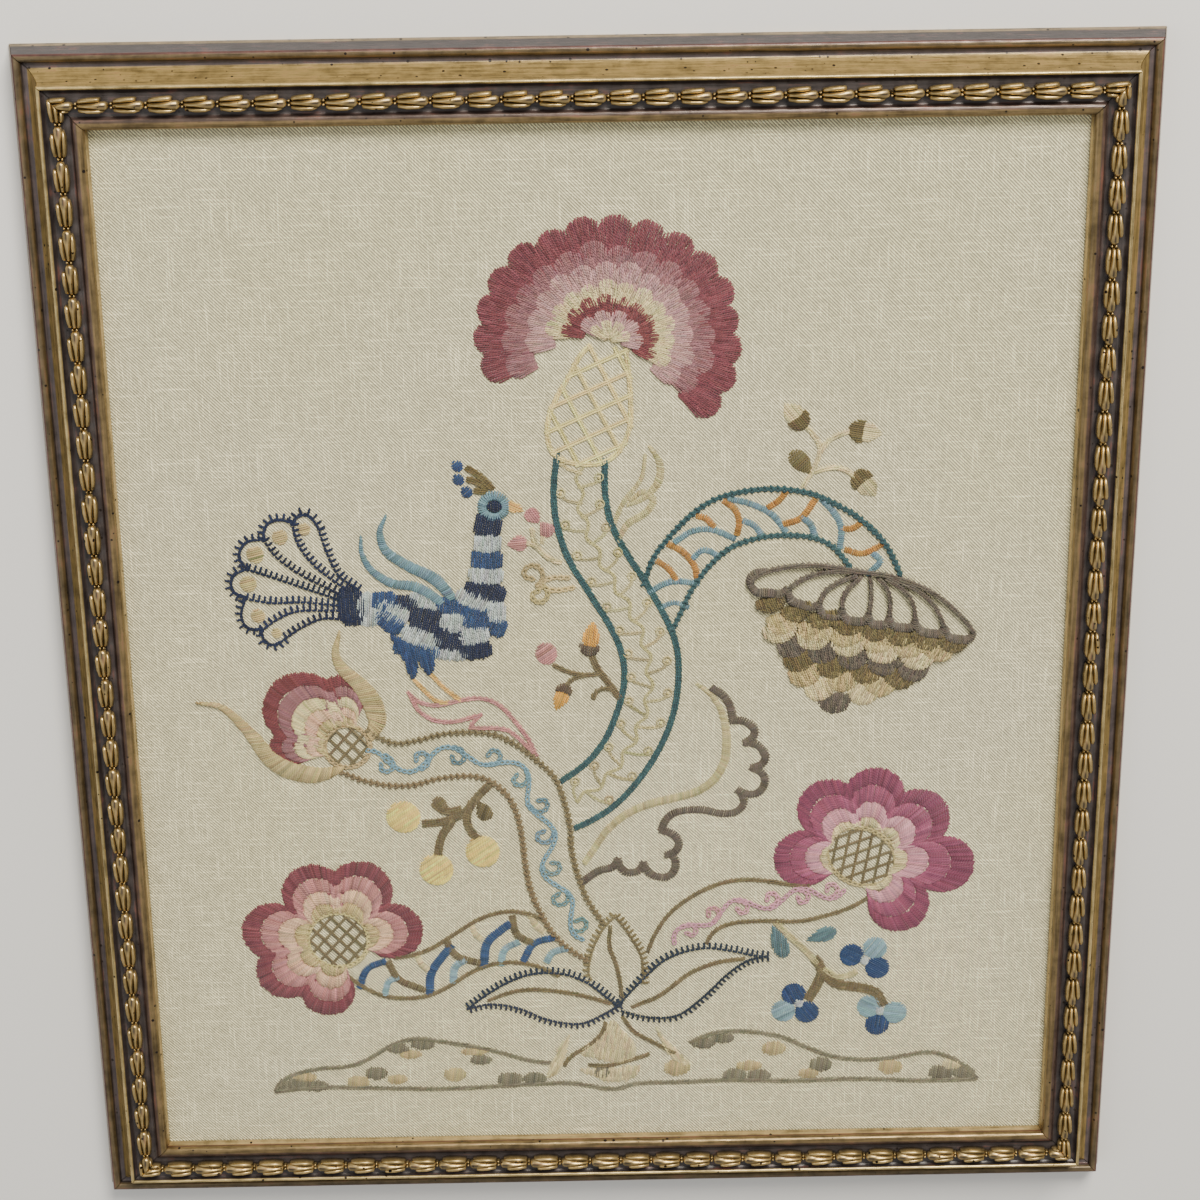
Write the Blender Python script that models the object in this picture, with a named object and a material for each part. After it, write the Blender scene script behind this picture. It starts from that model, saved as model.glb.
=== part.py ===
"""Framed crewel embroidery panel: a stretched linen ground in four mitred rails of gilt moulding.

Metres, +Z up. The panel lies on its back: +Z is out of the picture's face, +Y is the top of the picture,
and the origin is at the middle of the back.
"""

import math

import bmesh
import bpy
from mathutils import Matrix, Vector

OBJECT_NAME = "framed_crewel_panel"
MM = 0.001

FRAME_WIDTH = 0.495
FRAME_HEIGHT = 0.563
PIECE_GAP = 0.0003
MERGE_DISTANCE = 0.00001

# The moulding's cross-section. Each row ends one run of the outline, which starts at the outer back arris.
# "across" is measured from the frame's outer edge towards the picture, "height" from the back, and "bow"
# is how far the run swells out of the wood (minus: is hollowed into it). All in millimetres.
SECTION_START = {"across": 0.8, "height": 0.0}
SECTION_RUNS = (
    {"run": "back arris", "across": 0.0, "height": 0.9, "bow": 0.0},
    {"run": "outer side", "across": 3.1, "height": 12.6, "bow": 0.0},
    {"run": "outer reed", "across": 6.7, "height": 12.0, "bow": 1.5},
    {"run": "groove wall", "across": 7.0, "height": 10.9, "bow": 0.0},
    {"run": "groove floor", "across": 9.2, "height": 10.9, "bow": 0.0},
    {"run": "long cove", "across": 14.9, "height": 26.0, "bow": -1.8},
    {"run": "top ridge", "across": 16.7, "height": 26.0, "bow": 0.7},
    {"run": "ornament bed, outer wall", "across": 18.2, "height": 23.9, "bow": -0.3},
    {"run": "ornament bed, outer floor", "across": 19.5, "height": 23.7, "bow": 0.0},
    {"run": "ornament, outer side", "across": 19.5, "height": 26.3, "bow": 0.0},
    {"run": "ornament, round top", "across": 26.7, "height": 26.3, "bow": 3.6},
    {"run": "ornament, inner side", "across": 26.7, "height": 23.7, "bow": 0.0},
    {"run": "ornament bed, inner floor", "across": 28.0, "height": 23.9, "bow": 0.0},
    {"run": "ornament bed, inner wall", "across": 29.0, "height": 25.4, "bow": -0.2},
    {"run": "bead shoulder", "across": 30.6, "height": 25.8, "bow": 0.0},
    {"run": "sight bead", "across": 33.8, "height": 23.6, "bow": 1.0},
    {"run": "sight quirk", "across": 33.4, "height": 22.2, "bow": 0.0},
    {"run": "sight edge", "across": 34.2, "height": 18.8, "bow": 0.4},
    {"run": "lip underside", "across": 28.5, "height": 18.8, "bow": 0.0},
    {"run": "rabbet wall", "across": 28.5, "height": 0.0, "bow": 0.0},
)
ARC_STEP = math.radians(18)

LINEN_FACE_HEIGHT = 0.0185
LINEN_THICKNESS = 0.002
LINEN_EDGE_FROM_OUTSIDE = 0.029

GILT = {"color": (0.30, 0.21, 0.09, 1.0), "roughness": 0.38, "metallic": 0.85}
LINEN = {"color": (0.66, 0.61, 0.49, 1.0), "roughness": 0.9, "metallic": 0.0}


def clear_scene():
    for obj in list(bpy.data.objects):
        bpy.data.objects.remove(obj, do_unlink=True)


def new_collection(name):
    collection = bpy.data.collections.new(name)
    bpy.context.scene.collection.children.link(collection)
    return collection


def make_material(name, finish):
    material = bpy.data.materials.new(name)
    material.use_nodes = True
    shader = material.node_tree.nodes["Principled BSDF"]
    shader.inputs["Base Color"].default_value = finish["color"]
    shader.inputs["Roughness"].default_value = finish["roughness"]
    shader.inputs["Metallic"].default_value = finish["metallic"]
    return material


def bowed_run(start, end, bow):
    """The points after start on a circular arc to end that swells by bow to the left of the run."""
    chord = end - start
    if abs(bow) < MERGE_DISTANCE:
        return [end]
    half_angle = 2 * math.atan2(2 * abs(bow), chord.length)
    radius = chord.length / (2 * math.sin(half_angle))
    side = Vector((-chord.y, chord.x)).normalized() * math.copysign(1, bow)
    centre = (start + end) / 2 + side * (abs(bow) - radius)
    steps = max(2, math.ceil(2 * half_angle / ARC_STEP))
    points = []
    for step in range(1, steps):
        angle = half_angle * (2 * step / steps - 1)
        along = chord.normalized() * radius * math.sin(angle)
        points.append(centre + side * radius * math.cos(angle) + along)
    return points + [end]


def section_outline():
    here = Vector((SECTION_START["across"], SECTION_START["height"])) * MM
    outline = [here]
    for row in SECTION_RUNS:
        corner = Vector((row["across"], row["height"])) * MM
        outline += bowed_run(here, corner, row["bow"] * MM)
        here = corner
    return outline


def extruded_outline(name, outline, length):
    """A mesh of the flat outline in X and Y, extruded by length along Z about the origin."""
    curve = bpy.data.curves.new(name + "_outline", "CURVE")
    curve.dimensions = "2D"
    curve.fill_mode = "BOTH"
    curve.extrude = length / 2
    spline = curve.splines.new("POLY")
    spline.points.add(len(outline) - 1)
    for point, place in zip(spline.points, outline):
        point.co = (place.x, place.y, 0.0, 1.0)
    spline.use_cyclic_u = True
    holder = bpy.data.objects.new(name + "_outline", curve)
    mesh = bpy.data.meshes.new_from_object(holder)
    bpy.data.objects.remove(holder)
    bpy.data.curves.remove(curve)
    mesh.name = name
    return mesh


def close_mesh(mesh):
    bm = bmesh.new()
    bm.from_mesh(mesh)
    bmesh.ops.remove_doubles(bm, verts=bm.verts, dist=MERGE_DISTANCE)
    bmesh.ops.recalc_face_normals(bm, faces=bm.faces)
    bm.to_mesh(mesh)
    bm.free()


def mitre_ends(mesh, length):
    """Slides each end of a rail that runs along Z back by its distance across, for a 45 degree mitre."""
    joint_gap = PIECE_GAP / math.sqrt(2)
    for vertex in mesh.vertices:
        reach = length / 2 - vertex.co.x - joint_gap
        vertex.co.z = math.copysign(reach, vertex.co.z)


def make_rail(name, length, outer_edge, turn, collection):
    """One rail: outer_edge is its distance from the middle, and turn is its side of the frame."""
    mesh = extruded_outline(name, section_outline(), length)
    mitre_ends(mesh, length)
    lay_along_x = Matrix(((0, 0, 1, 0), (-1, 0, 0, outer_edge), (0, 1, 0, 0), (0, 0, 0, 1)))
    mesh.transform(lay_along_x)
    close_mesh(mesh)
    mesh.materials.append(make_material(name + "_gilt", GILT))
    rail = bpy.data.objects.new(name, mesh)
    rail.rotation_euler = (0, 0, turn)
    collection.objects.link(rail)
    return rail


def make_rails(collection):
    quarter = math.pi / 2
    half_width, half_height = FRAME_WIDTH / 2, FRAME_HEIGHT / 2
    make_rail("rail_top", FRAME_WIDTH, half_height, 0, collection)
    make_rail("rail_left", FRAME_HEIGHT, half_width, quarter, collection)
    make_rail("rail_bottom", FRAME_WIDTH, half_height, 2 * quarter, collection)
    make_rail("rail_right", FRAME_HEIGHT, half_width, -quarter, collection)


def make_linen(collection):
    width = FRAME_WIDTH - 2 * LINEN_EDGE_FROM_OUTSIDE
    height = FRAME_HEIGHT - 2 * LINEN_EDGE_FROM_OUTSIDE
    outline = [Vector((x * width / 2, y * height / 2)) for x, y in ((-1, -1), (1, -1), (1, 1), (-1, 1))]
    mesh = extruded_outline("linen_ground", outline, LINEN_THICKNESS)
    close_mesh(mesh)
    mesh.materials.append(make_material("linen_ground_cloth", LINEN))
    linen = bpy.data.objects.new("linen_ground", mesh)
    linen.location.z = LINEN_FACE_HEIGHT - LINEN_THICKNESS / 2
    collection.objects.link(linen)


def main():
    clear_scene()
    parts = new_collection(OBJECT_NAME)
    make_rails(parts)
    make_linen(parts)
    bpy.context.view_layer.update()


main()
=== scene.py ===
import math
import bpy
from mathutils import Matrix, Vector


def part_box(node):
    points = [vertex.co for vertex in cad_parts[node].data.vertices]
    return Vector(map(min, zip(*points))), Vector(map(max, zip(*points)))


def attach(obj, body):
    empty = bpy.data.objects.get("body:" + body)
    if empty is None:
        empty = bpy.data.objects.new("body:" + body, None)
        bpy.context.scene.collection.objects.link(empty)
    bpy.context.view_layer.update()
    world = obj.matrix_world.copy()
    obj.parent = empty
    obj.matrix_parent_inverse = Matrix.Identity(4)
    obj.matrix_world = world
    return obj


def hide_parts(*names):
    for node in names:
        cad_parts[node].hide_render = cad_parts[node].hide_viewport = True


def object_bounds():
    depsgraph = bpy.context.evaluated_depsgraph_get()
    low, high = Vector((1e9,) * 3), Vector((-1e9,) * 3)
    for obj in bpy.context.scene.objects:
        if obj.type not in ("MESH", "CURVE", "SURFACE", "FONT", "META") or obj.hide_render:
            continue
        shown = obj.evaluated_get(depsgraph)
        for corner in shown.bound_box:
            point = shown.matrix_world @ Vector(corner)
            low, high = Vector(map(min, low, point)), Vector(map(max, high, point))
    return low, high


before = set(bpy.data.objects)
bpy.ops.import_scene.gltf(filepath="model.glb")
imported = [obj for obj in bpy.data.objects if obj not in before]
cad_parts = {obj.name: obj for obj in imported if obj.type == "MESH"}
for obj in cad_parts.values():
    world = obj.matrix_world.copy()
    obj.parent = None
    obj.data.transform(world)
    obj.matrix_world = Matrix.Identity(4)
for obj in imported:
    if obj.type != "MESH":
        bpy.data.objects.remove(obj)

import zlib

import bmesh
import bpy
import numpy as np
from mathutils import Euler, Matrix, Vector, noise

CAD_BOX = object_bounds()
BODY = "root"
MM = 0.001
RAILS = ("rail_top", "rail_right", "rail_bottom", "rail_left")
FRAME_LOW, FRAME_HIGH = Vector(CAD_BOX[0]), Vector(CAD_BOX[1])
LINEN_LOW, LINEN_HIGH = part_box("linen_ground")
CLOTH_FACE = LINEN_HIGH.z / MM
DESIGN_PLACE = np.array((1.3, -1.9, CLOTH_FACE))  # where the design's own origin lies on the cloth

# ---------------------------------------------------------------- shades

SHADES = {
    "dark rose": "#7e464c",
    "red rose": "#7a4244",
    "mauve": "#986a6c",
    "light mauve": "#bf9590",
    "cream": "#e0cf98",
    "pale yellow": "#efdc92",
    "gold cream": "#c6b27a",
    "teal": "#3a5a5c",
    "light blue": "#71929b",
    "tan orange": "#b5823f",
    "navy": "#212a44",
    "dark slate": "#2c3644",
    "mid blue": "#32496f",
    "pale grey blue": "#bcc5bf",
    "olive": "#74684a",
    "moss": "#6f6340",
    "taupe": "#665d50",
    "pink": "#c08580",
    "peach": "#e4bc98",
    "plum": "#87475c",
    "orchid": "#9e566e",
    "light pink": "#d69aa2",
    "sky": "#8aaab0",
    "slate blue": "#3c5578",
    "drop teal": "#5c787c",
    "stone olive": "#7c775f",
    "berry yellow": "#ffe27c",
    "acorn orange": "#e0a544",
    "acorn brown": "#5f5142",
    "beak": "#e0b567",
    "ecru": "#c9bd86",
}


def linear(hex_colour):
    """An sRGB hex colour as linear red, green, blue and alpha."""
    parts = [int(hex_colour[i : i + 2], 16) / 255 for i in (1, 3, 5)]
    return tuple(c / 12.92 if c <= 0.04045 else ((c + 0.055) / 1.055) ** 2.4 for c in parts) + (1.0,)


def node(tree, kind, inputs=None, **settings):
    """Adds a node: settings are its properties, inputs are sockets to link or values to set."""
    added = tree.nodes.new(kind)
    for name, value in settings.items():
        setattr(added, name, value)
    for key, value in (inputs or {}).items():
        if isinstance(value, bpy.types.NodeSocket):
            tree.links.new(value, added.inputs[key])
        else:
            added.inputs[key].default_value = value
    return added


# ---------------------------------------------------------------- lines on the cloth, in millimetres


def respaced(line, step):
    """The same line with its points step apart."""
    along = np.concatenate(([0], np.cumsum(np.linalg.norm(np.diff(line, axis=0), axis=1))))
    count = max(2, int(round(along[-1] / step)) + 1)
    wanted = np.linspace(0, along[-1], count)
    return np.column_stack([np.interp(wanted, along, line[:, i]) for i in (0, 1)])


def shared_out(line, shares):
    """The points of a line at the given shares of its run."""
    return np.column_stack([np.interp(shares, np.linspace(0, 1, len(line)), line[:, i]) for i in (0, 1)])


def length_of(line):
    return np.sum(np.linalg.norm(np.diff(line, axis=0), axis=1))


CURVE_STEPS = 14  # steps of a smooth line from one given point to the next


def smooth(points, step=0.8, closed=False):
    """A smooth line through a few points, as points step apart."""
    p = np.array(points, float)
    if closed:
        ends = np.vstack([p[-1], p, p[0], p[1]])
    else:
        ends = np.vstack([2 * p[0] - p[1], p, 2 * p[-1] - p[-2]])
    t = np.linspace(0, 1, CURVE_STEPS, endpoint=False)[:, None]
    runs = []
    for a, b, c, d in zip(ends, ends[1:], ends[2:], ends[3:]):
        runs.append(b + 0.5 * t * (c - a + t * (2 * a - 5 * b + 4 * c - d + t * (3 * b - a - 3 * c + d))))
    return respaced(np.vstack(runs + [ends[-2][None]]), step)


def left_of(line):
    """Unit normals on the left of a line."""
    along = np.gradient(line, axis=0)
    along /= np.linalg.norm(along, axis=1)[:, None] + 1e-9
    return np.column_stack([-along[:, 1], along[:, 0]])


def beside(line, distance):
    return line + left_of(line) * np.reshape(distance, (-1, 1))


def towards(angle, length=1.0):
    """A step of some length at an angle in degrees."""
    return np.array([math.cos(math.radians(angle)), math.sin(math.radians(angle))]) * length


def oval(centre, across, along, angle=0.0, start=0.0, end=360.0, step=0.8):
    """An elliptical arc: across and along are its half sizes, and along points at the angle."""
    count = max(6, int(math.radians(end - start) * max(across, along) / step))
    turn = np.radians(np.linspace(start, end, count))
    out, side = towards(angle), towards(angle + 90)
    return np.array(centre) + np.outer(np.cos(turn) * along, out) + np.outer(np.sin(turn) * across, side)


DROP_POINTS = 15
# Where along it a drop is widest, how slowly it narrows to each end, and how bluntly its base is pointed.
DROP_WIDEST, DROP_NECK, DROP_HEAD, DROP_POINT = 0.66, 0.68, 0.35, 0.45


def drop(base, tip, width):
    """A closed drop outline: pointed at the base, round near the tip."""
    base, tip = np.array(base, float), np.array(tip, float)
    axis = tip - base
    side = np.array([-axis[1], axis[0]]) / np.linalg.norm(axis)
    u = np.linspace(0, 1, DROP_POINTS)
    fall = (u - DROP_WIDEST) / np.where(u < DROP_WIDEST, DROP_NECK, DROP_HEAD)
    half = width / 2 * np.sqrt(np.clip(1 - fall ** 2, 0, 1))
    half *= np.clip(u / 0.5, 0, 1) ** DROP_POINT
    spine = base + np.outer(u, axis)
    return np.vstack([spine + np.outer(half, side), (spine - np.outer(half, side))[::-1]])


# ---------------------------------------------------------------- gathering stitches

STRAND = 0.98  # a strand of crewel wool, laid
SPACING = 0.96  # from strand to strand in satin stitch
STRAND_REST = 0.30  # the height of a laid strand's middle over the cloth
DIP = 0.45  # how far a stitch's ends go into the cloth
SHADE_SPREAD = 0.14
LONGEST_STITCH = 11.0
PETAL_STITCH = 5.5
OVERLAP = 0.8  # how far the stitches of one row run past each other
STAGGER, STAGGER_CHANCE = 0.25, 0.12  # shares of a stitch that a row's joins shift by, by turns and by chance
SHORTEST_STITCH = 0.5
SHOULDER, SHOULDER_SHARE = 0.9, 0.3  # how soon a stitch has risen, and at most how much of its length
LONG_STITCH = 4  # a stitch past this length rises a little more in its middle
DRIFT = 0.05
BAND_RAGGED = 0.08
PETAL_RAGGED, PETAL_SLIP = 0.3, 0.25
SMOOTHED_ALREADY = 40  # a line with as many points is one that smooth() has made
STEM_REACH, STEM_SLANT, STEM_LIFT = 0.8, 0.28, 0.05
TRELLIS_STEP, TRELLIS_LIFT = 3, 0.1
SCROLL_POINTS, SCROLL_END = 14, 0.35


class Needlework:
    """The wool of one motif: strands laid on the cloth, and lines of linked stitches."""

    def __init__(self, name):
        self.random = np.random.default_rng(zlib.crc32(name.encode()))
        self.strands = []
        self.lines = {}

    def dye(self, shade):
        colour = np.array(linear(SHADES[shade])[:3])
        tint = 1 + self.random.normal(0, SHADE_SPREAD) + self.random.normal(0, SHADE_SPREAD / 4, 3)
        return tuple(np.clip(colour * tint, 0.002, 1)) + (1.0,)

    def strand(self, points, shade, thickness=STRAND):
        self.strands.append((np.array(points, float), self.dye(shade), thickness))

    def stitch(self, start, end, shade, lift=0.0, thickness=STRAND):
        """One straight stitch, from where the needle comes up to where it goes down."""
        start, end = np.array(start, float), np.array(end, float)
        length = np.linalg.norm(end - start)
        if length < SHORTEST_STITCH:
            return
        shoulder = min(SHOULDER, SHOULDER_SHARE * length) / length
        top = STRAND_REST + lift + self.random.uniform(-0.1, 0.12)
        drift = self.random.normal(0, DRIFT, 2)
        points = [(*start, -DIP), (*(start + (end - start) * shoulder + drift), top)]
        if length > LONG_STITCH:
            points.append((*((start + end) / 2 + drift), top + DRIFT))
        points += [(*(end - (end - start) * shoulder + drift), top), (*end, -DIP)]
        self.strand(points, shade, thickness * self.random.uniform(0.93, 1.07))

    def link(self, kind, line, shade):
        """A line worked in one of the linked stitches."""
        self.lines.setdefault(kind, []).append((np.array(line, float), self.dye(shade)))


def satin(work, first, second, shade, ragged=0.0, lift=0.0):
    """Satin stitches from each point of one edge to the matching point of the other."""
    ragged_ends = work.random.uniform(-ragged, ragged, (len(first), 2))
    for a, b, (ra, rb) in zip(first, second, ragged_ends):
        way = (b - a) / (np.linalg.norm(b - a) + 1e-9)
        work.stitch(a - way * ra, b + way * rb, shade, lift)


def satin_between(work, edge_a, edge_b, shade, ragged=0.0, lift=0.0):
    """Satin stitches across the space between two edges, as close as the longer edge needs."""
    longer = max(length_of(edge_a), length_of(edge_b))
    first = respaced(edge_a, length_of(edge_a) / max(2, longer / SPACING))
    satin(work, first, shared_out(edge_b, np.linspace(0, 1, len(first))), shade, ragged, lift)


def satin_band(work, line, width, shade, slant=0.0, lift=0.05):
    """A narrow band of satin stitch across a line. width is one number, or one for each point."""
    line = respaced(line, SPACING)
    widths = np.interp(np.linspace(0, 1, len(line)), np.linspace(0, 1, np.size(width)), np.ravel(width))
    lean = np.gradient(line, axis=0) * slant
    satin(work, beside(line, widths / 2) + lean, beside(line, -widths / 2) - lean, shade, BAND_RAGGED, lift)


def bands(work, rows):
    for shade, width, line in rows:
        satin_band(work, smooth(line), width, shade)


def crossings(outline, along, across, row):
    """The stretches of a straight row, from where it enters a closed outline to where it leaves."""
    u, v = outline @ along, outline @ across
    cuts = []
    for i in range(len(u)):
        j = (i + 1) % len(u)
        if (v[i] - row) * (v[j] - row) < 0:
            cuts.append(u[i] + (u[j] - u[i]) * (row - v[i]) / (v[j] - v[i]))
    cuts.sort()
    return list(zip(cuts[::2], cuts[1::2]))


def satin_shape(work, outline, angle, shade, ragged=0.1, lift=0.0, longest=LONGEST_STITCH):
    """Parallel stitches at an angle across a closed outline, the long ones in staggered lengths."""
    along, across = towards(angle), towards(angle + 90)
    v = outline @ across
    for index, row in enumerate(np.arange(v.min() + SPACING / 2, v.max(), SPACING)):
        for low, high in crossings(outline, along, across, row):
            for a, b in broken(work, low, high, index, longest):
                pull = work.random.uniform(-ragged, ragged, 2)
                start, end = (along * (place + tug) + across * row for place, tug in zip((a, b), pull))
                work.stitch(start, end, shade, lift)


def broken(work, low, high, index, longest):
    """A long row broken into stitches, staggered from row to row and each running a little past the next."""
    count = max(1, math.ceil((high - low) / longest))
    ends = [low]
    for part in range(1, count):
        stagger = (STAGGER if index % 2 else -STAGGER) + work.random.uniform(-STAGGER_CHANCE, STAGGER_CHANCE)
        ends.append(low + (high - low) * (part + stagger) / count)
    ends.append(high)
    return [(max(low, a - OVERLAP), min(high, b + OVERLAP)) for a, b in zip(ends, ends[1:])]


def scale(work, foot, angle, length, width, shade, lift=0.0, taper=0.6, roundness=0.8):
    """A round-ended petal in long and short stitch, its ragged stitches drawn together towards its foot."""
    out, side = towards(angle), towards(angle + 90)
    half = width / 2
    for index, off in enumerate(np.arange(-half + SPACING / 2, half, SPACING)):
        rounding = half * roundness * (1 - math.sqrt(1 - (off / half) ** 2))
        root = np.array(foot) + side * off * taper
        head = np.array(foot) + out * (length - rounding) + side * off
        reach = np.linalg.norm(head - root)
        way = (head - root) / reach
        for a, b in broken(work, 0.0, reach, index, PETAL_STITCH):
            pull = work.random.uniform(-PETAL_RAGGED, PETAL_RAGGED, 2)
            slip = side * work.random.uniform(-PETAL_SLIP, PETAL_SLIP)
            work.stitch(root + way * (a + pull[0]) - slip, root + way * (b + pull[1]) + slip, shade, lift)


def stem(work, line, shade, rows=1, pitch=2.7, lift=0.0):
    """Stem stitch: overlapping slanted stitches along a line, in one or more rows side by side."""
    line = smooth(line, pitch) if len(line) < SMOOTHED_ALREADY else respaced(np.array(line, float), pitch)
    normal = left_of(line)
    for row in range(rows):
        offset = (row - (rows - 1) / 2) * SPACING
        for i in range(len(line) - 1):
            far = min(i + 2, len(line) - 1)
            reach = line[far] * STEM_REACH + line[i + 1] * (1 - STEM_REACH)
            start = line[i] + normal[i] * (offset - STEM_SLANT)
            work.stitch(start, reach + normal[far] * (offset + STEM_SLANT), shade, lift + STEM_LIFT)


def stems(work, rows, shade):
    for count, line in rows:
        stem(work, line, shade, count)


def trellis(work, inside, angles, gap, shade, strands=2, apart=SPACING, shift=(0.0, 0.0)):
    """Lattice lines laid across a closed outline, each of one or more strands side by side."""
    for angle, start in zip(angles, shift):
        along, across = towards(angle), towards(angle + 90)
        v = inside @ across
        for row in np.arange(v.min() + start, v.max(), gap):
            for low, high in crossings(inside, along, across, row):
                for strand in range(strands):
                    off = row + (strand - (strands - 1) / 2) * apart
                    run = np.linspace(low, high, max(3, int((high - low) / TRELLIS_STEP)))
                    height = STRAND_REST + TRELLIS_LIFT
                    work.strand([(*(along * r + across * off), height) for r in run], shade)


def ringed(work, spot, radius, step, lift, shade, thickness=STRAND):
    """One strand laid round in a ring."""
    work.strand([(*p, STRAND_REST + lift) for p in oval(spot, radius, radius, step=step)], shade, thickness)


def scroll(centre, radius, start, sweep):
    """A little spiral hook that winds in towards its centre."""
    turn = np.radians(np.linspace(start, start + sweep, SCROLL_POINTS))
    shrink = np.linspace(1.0, SCROLL_END, SCROLL_POINTS) * radius
    return np.array(centre) + np.column_stack([np.cos(turn) * shrink, np.sin(turn) * shrink])


# ---------------------------------------------------------------- carnation and its receptacle

CARNATION_CENTRE = (5.5, 154.5)
CARNATION_STRETCH = (1.03, 0.95)
PETAL_WIDEST = 4  # how far inside its tip a petal is widest
PETAL_CROWDING = 1.12  # a petal's width as a share of its place in the row
ROW_LIFT = 0.16  # each row lies a little over the last
# Rows of petals from the rim inwards: shade, distance to the tips, the petals' length, how many, and the
# angles that the row runs between.
CARNATION_ROWS = (
    ("dark rose", 57.5, 19.0, 16, 202, -45),
    ("mauve", 45.7, 14.0, 15, 205, -40),
    ("light mauve", 37.0, 13.5, 13, 190, -42),
    ("cream", 28.7, 12.0, 11, 176, -32),
    ("red rose", 22.0, 11.5, 9, 176, -32),
    ("light mauve", 15.0, 10.5, 5, 160, -25),
    ("cream", 10.0, 9.5, 4, 165, -10),
)
RECEPTACLE = (
    (-2, 151), (-7, 146), (-11, 138), (-17, 128), (-21, 118), (-21, 107), (-17, 101),
    (-9, 98.5), (1, 98.5), (9, 104), (13.5, 115), (13.8, 128), (13, 140), (12, 150),
)


def work_carnation(work):
    for index, (shade, reach, high, petals, start, end) in enumerate(CARNATION_ROWS):
        step = (end - start) / petals
        width = abs(math.radians(step)) * (reach - PETAL_WIDEST) * PETAL_CROWDING
        for angle in start + step * (np.arange(petals) + 0.5):
            uneven = work.random.uniform(0.97, 1.03)
            tip = np.array(CARNATION_CENTRE) + towards(angle, reach * uneven) * CARNATION_STRETCH
            foot = tip - towards(angle, high)
            scale(work, foot, angle, high, width, shade, ROW_LIFT * index, roundness=1.0)
    outline = smooth(RECEPTACLE)
    for inset in (0.4, 1.4):
        stem(work, beside(outline, -inset), "pale yellow")
    trellis(work, beside(outline, -1.8), (24, 116), 9.6, "pale yellow", shift=(5.0, 5.0))


# ---------------------------------------------------------------- trunk and its branches

TRUNK_LEFT = (
    (-18, 103), (-20, 86), (-19, 70), (-14, 53), (-4, 35), (6, 17), (10.5, 2), (9.5, -14), (2, -35),
    (-8, -48), (-20, -57),
)
TRUNK_RIGHT = (
    (3, 100), (3, 83), (6, 68), (13, 54), (22, 39), (31, 21), (35, 8), (35.5, -7), (33, -24), (27, -40),
    (18, -55), (7, -68), (-4, -76), (-14, -81),
)
TRUNK_LINES = 3
# The pale leaf beside the trunk: its bands' widths and lines.
CREAM_LEAF = (
    ((1.2, 3.4, 3.8, 3.0, 1.5), ((23, 105), (27.5, 97), (26.5, 88), (20, 81), (13, 78))),
    ((1.0, 1.8, 2.2, 2.0), ((21, 101), (19, 90), (11, 79), (7, 70))),
    ((1.5, 2.6, 3.4, 3.4, 3.0, 1.8), ((14, 80), (20, 84), (24.5, 80), (21, 74), (13, 69), (8.5, 61))),
)
ARCH_OUTER = (
    (20, 40), (24, 52), (31, 62), (41, 72.5), (52, 80), (65, 83.5), (80, 84.5), (95, 82), (105, 77.5),
    (115, 71.5), (124, 63.5), (130, 56), (134, 48), (136, 43),
)
ARCH_INNER = (
    (33, 18), (37, 27), (41, 36), (46, 44), (52, 51), (60, 57.5), (72, 61.5), (85, 62.5), (97, 61),
    (105, 57), (110, 51.5), (113, 47),
)
# Bands of satin stitch: shade, width and line.
ARCH_BANDS = (
    ("light blue", 3.0, ((22, 36), (32, 41), (45, 40))),
    ("light blue", 2.4, ((28, 29), (34, 31), (40, 28.5))),
    ("tan orange", 2.8, ((26, 51), (31, 47.5), (34.5, 42))),
    ("tan orange", 3.0, ((31, 59), (38, 55), (43, 48), (44, 42))),
    ("light blue", 2.8, ((34, 60), (42, 65), (51, 65.5), (61, 61))),
    ("light blue", 2.8, ((42, 52), (47, 56), (54, 53))),
    ("tan orange", 2.8, ((44, 72), (48, 71), (51.5, 67))),
    ("tan orange", 2.8, ((56, 79), (61, 75), (63, 69), (62, 63))),
    ("light blue", 2.8, ((58, 80), (68, 77.5), (78, 72), (84, 64))),
    ("light blue", 2.8, ((65, 69.5), (70, 67), (73.5, 62))),
    ("tan orange", 2.8, ((76, 75.5), (81, 79), (84, 83))),
    ("tan orange", 3.0, ((83, 67.5), (91, 70.5), (97, 79))),
    ("light blue", 3.0, ((100, 79), (106, 72), (109, 65), (108.5, 56))),
    ("light blue", 3.0, ((91, 71), (95, 67.5), (97.5, 61))),
    ("tan orange", 2.8, ((109, 65), (114, 65), (119, 68.5))),
    ("tan orange", 2.8, ((111, 55), (119, 53), (129, 58))),
    ("light blue", 3.0, ((123.5, 53), (127, 49), (121, 43))),
)
TRUNK_KNOTS = 27
KNOT_REACH = 8.6  # from the trunk's middle line to its ringed knots
KNOT_RING, FRENCH_KNOT = 1.9, 0.42  # the ring's radius, and the radius of the knot inside it
TRUNK_POINTS = 260  # points along the trunk's middle line, of which the knots use the first KNOT_SPREAD
KNOT_SPREAD = 250
TRUNK_WAVE = 1.6


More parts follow.
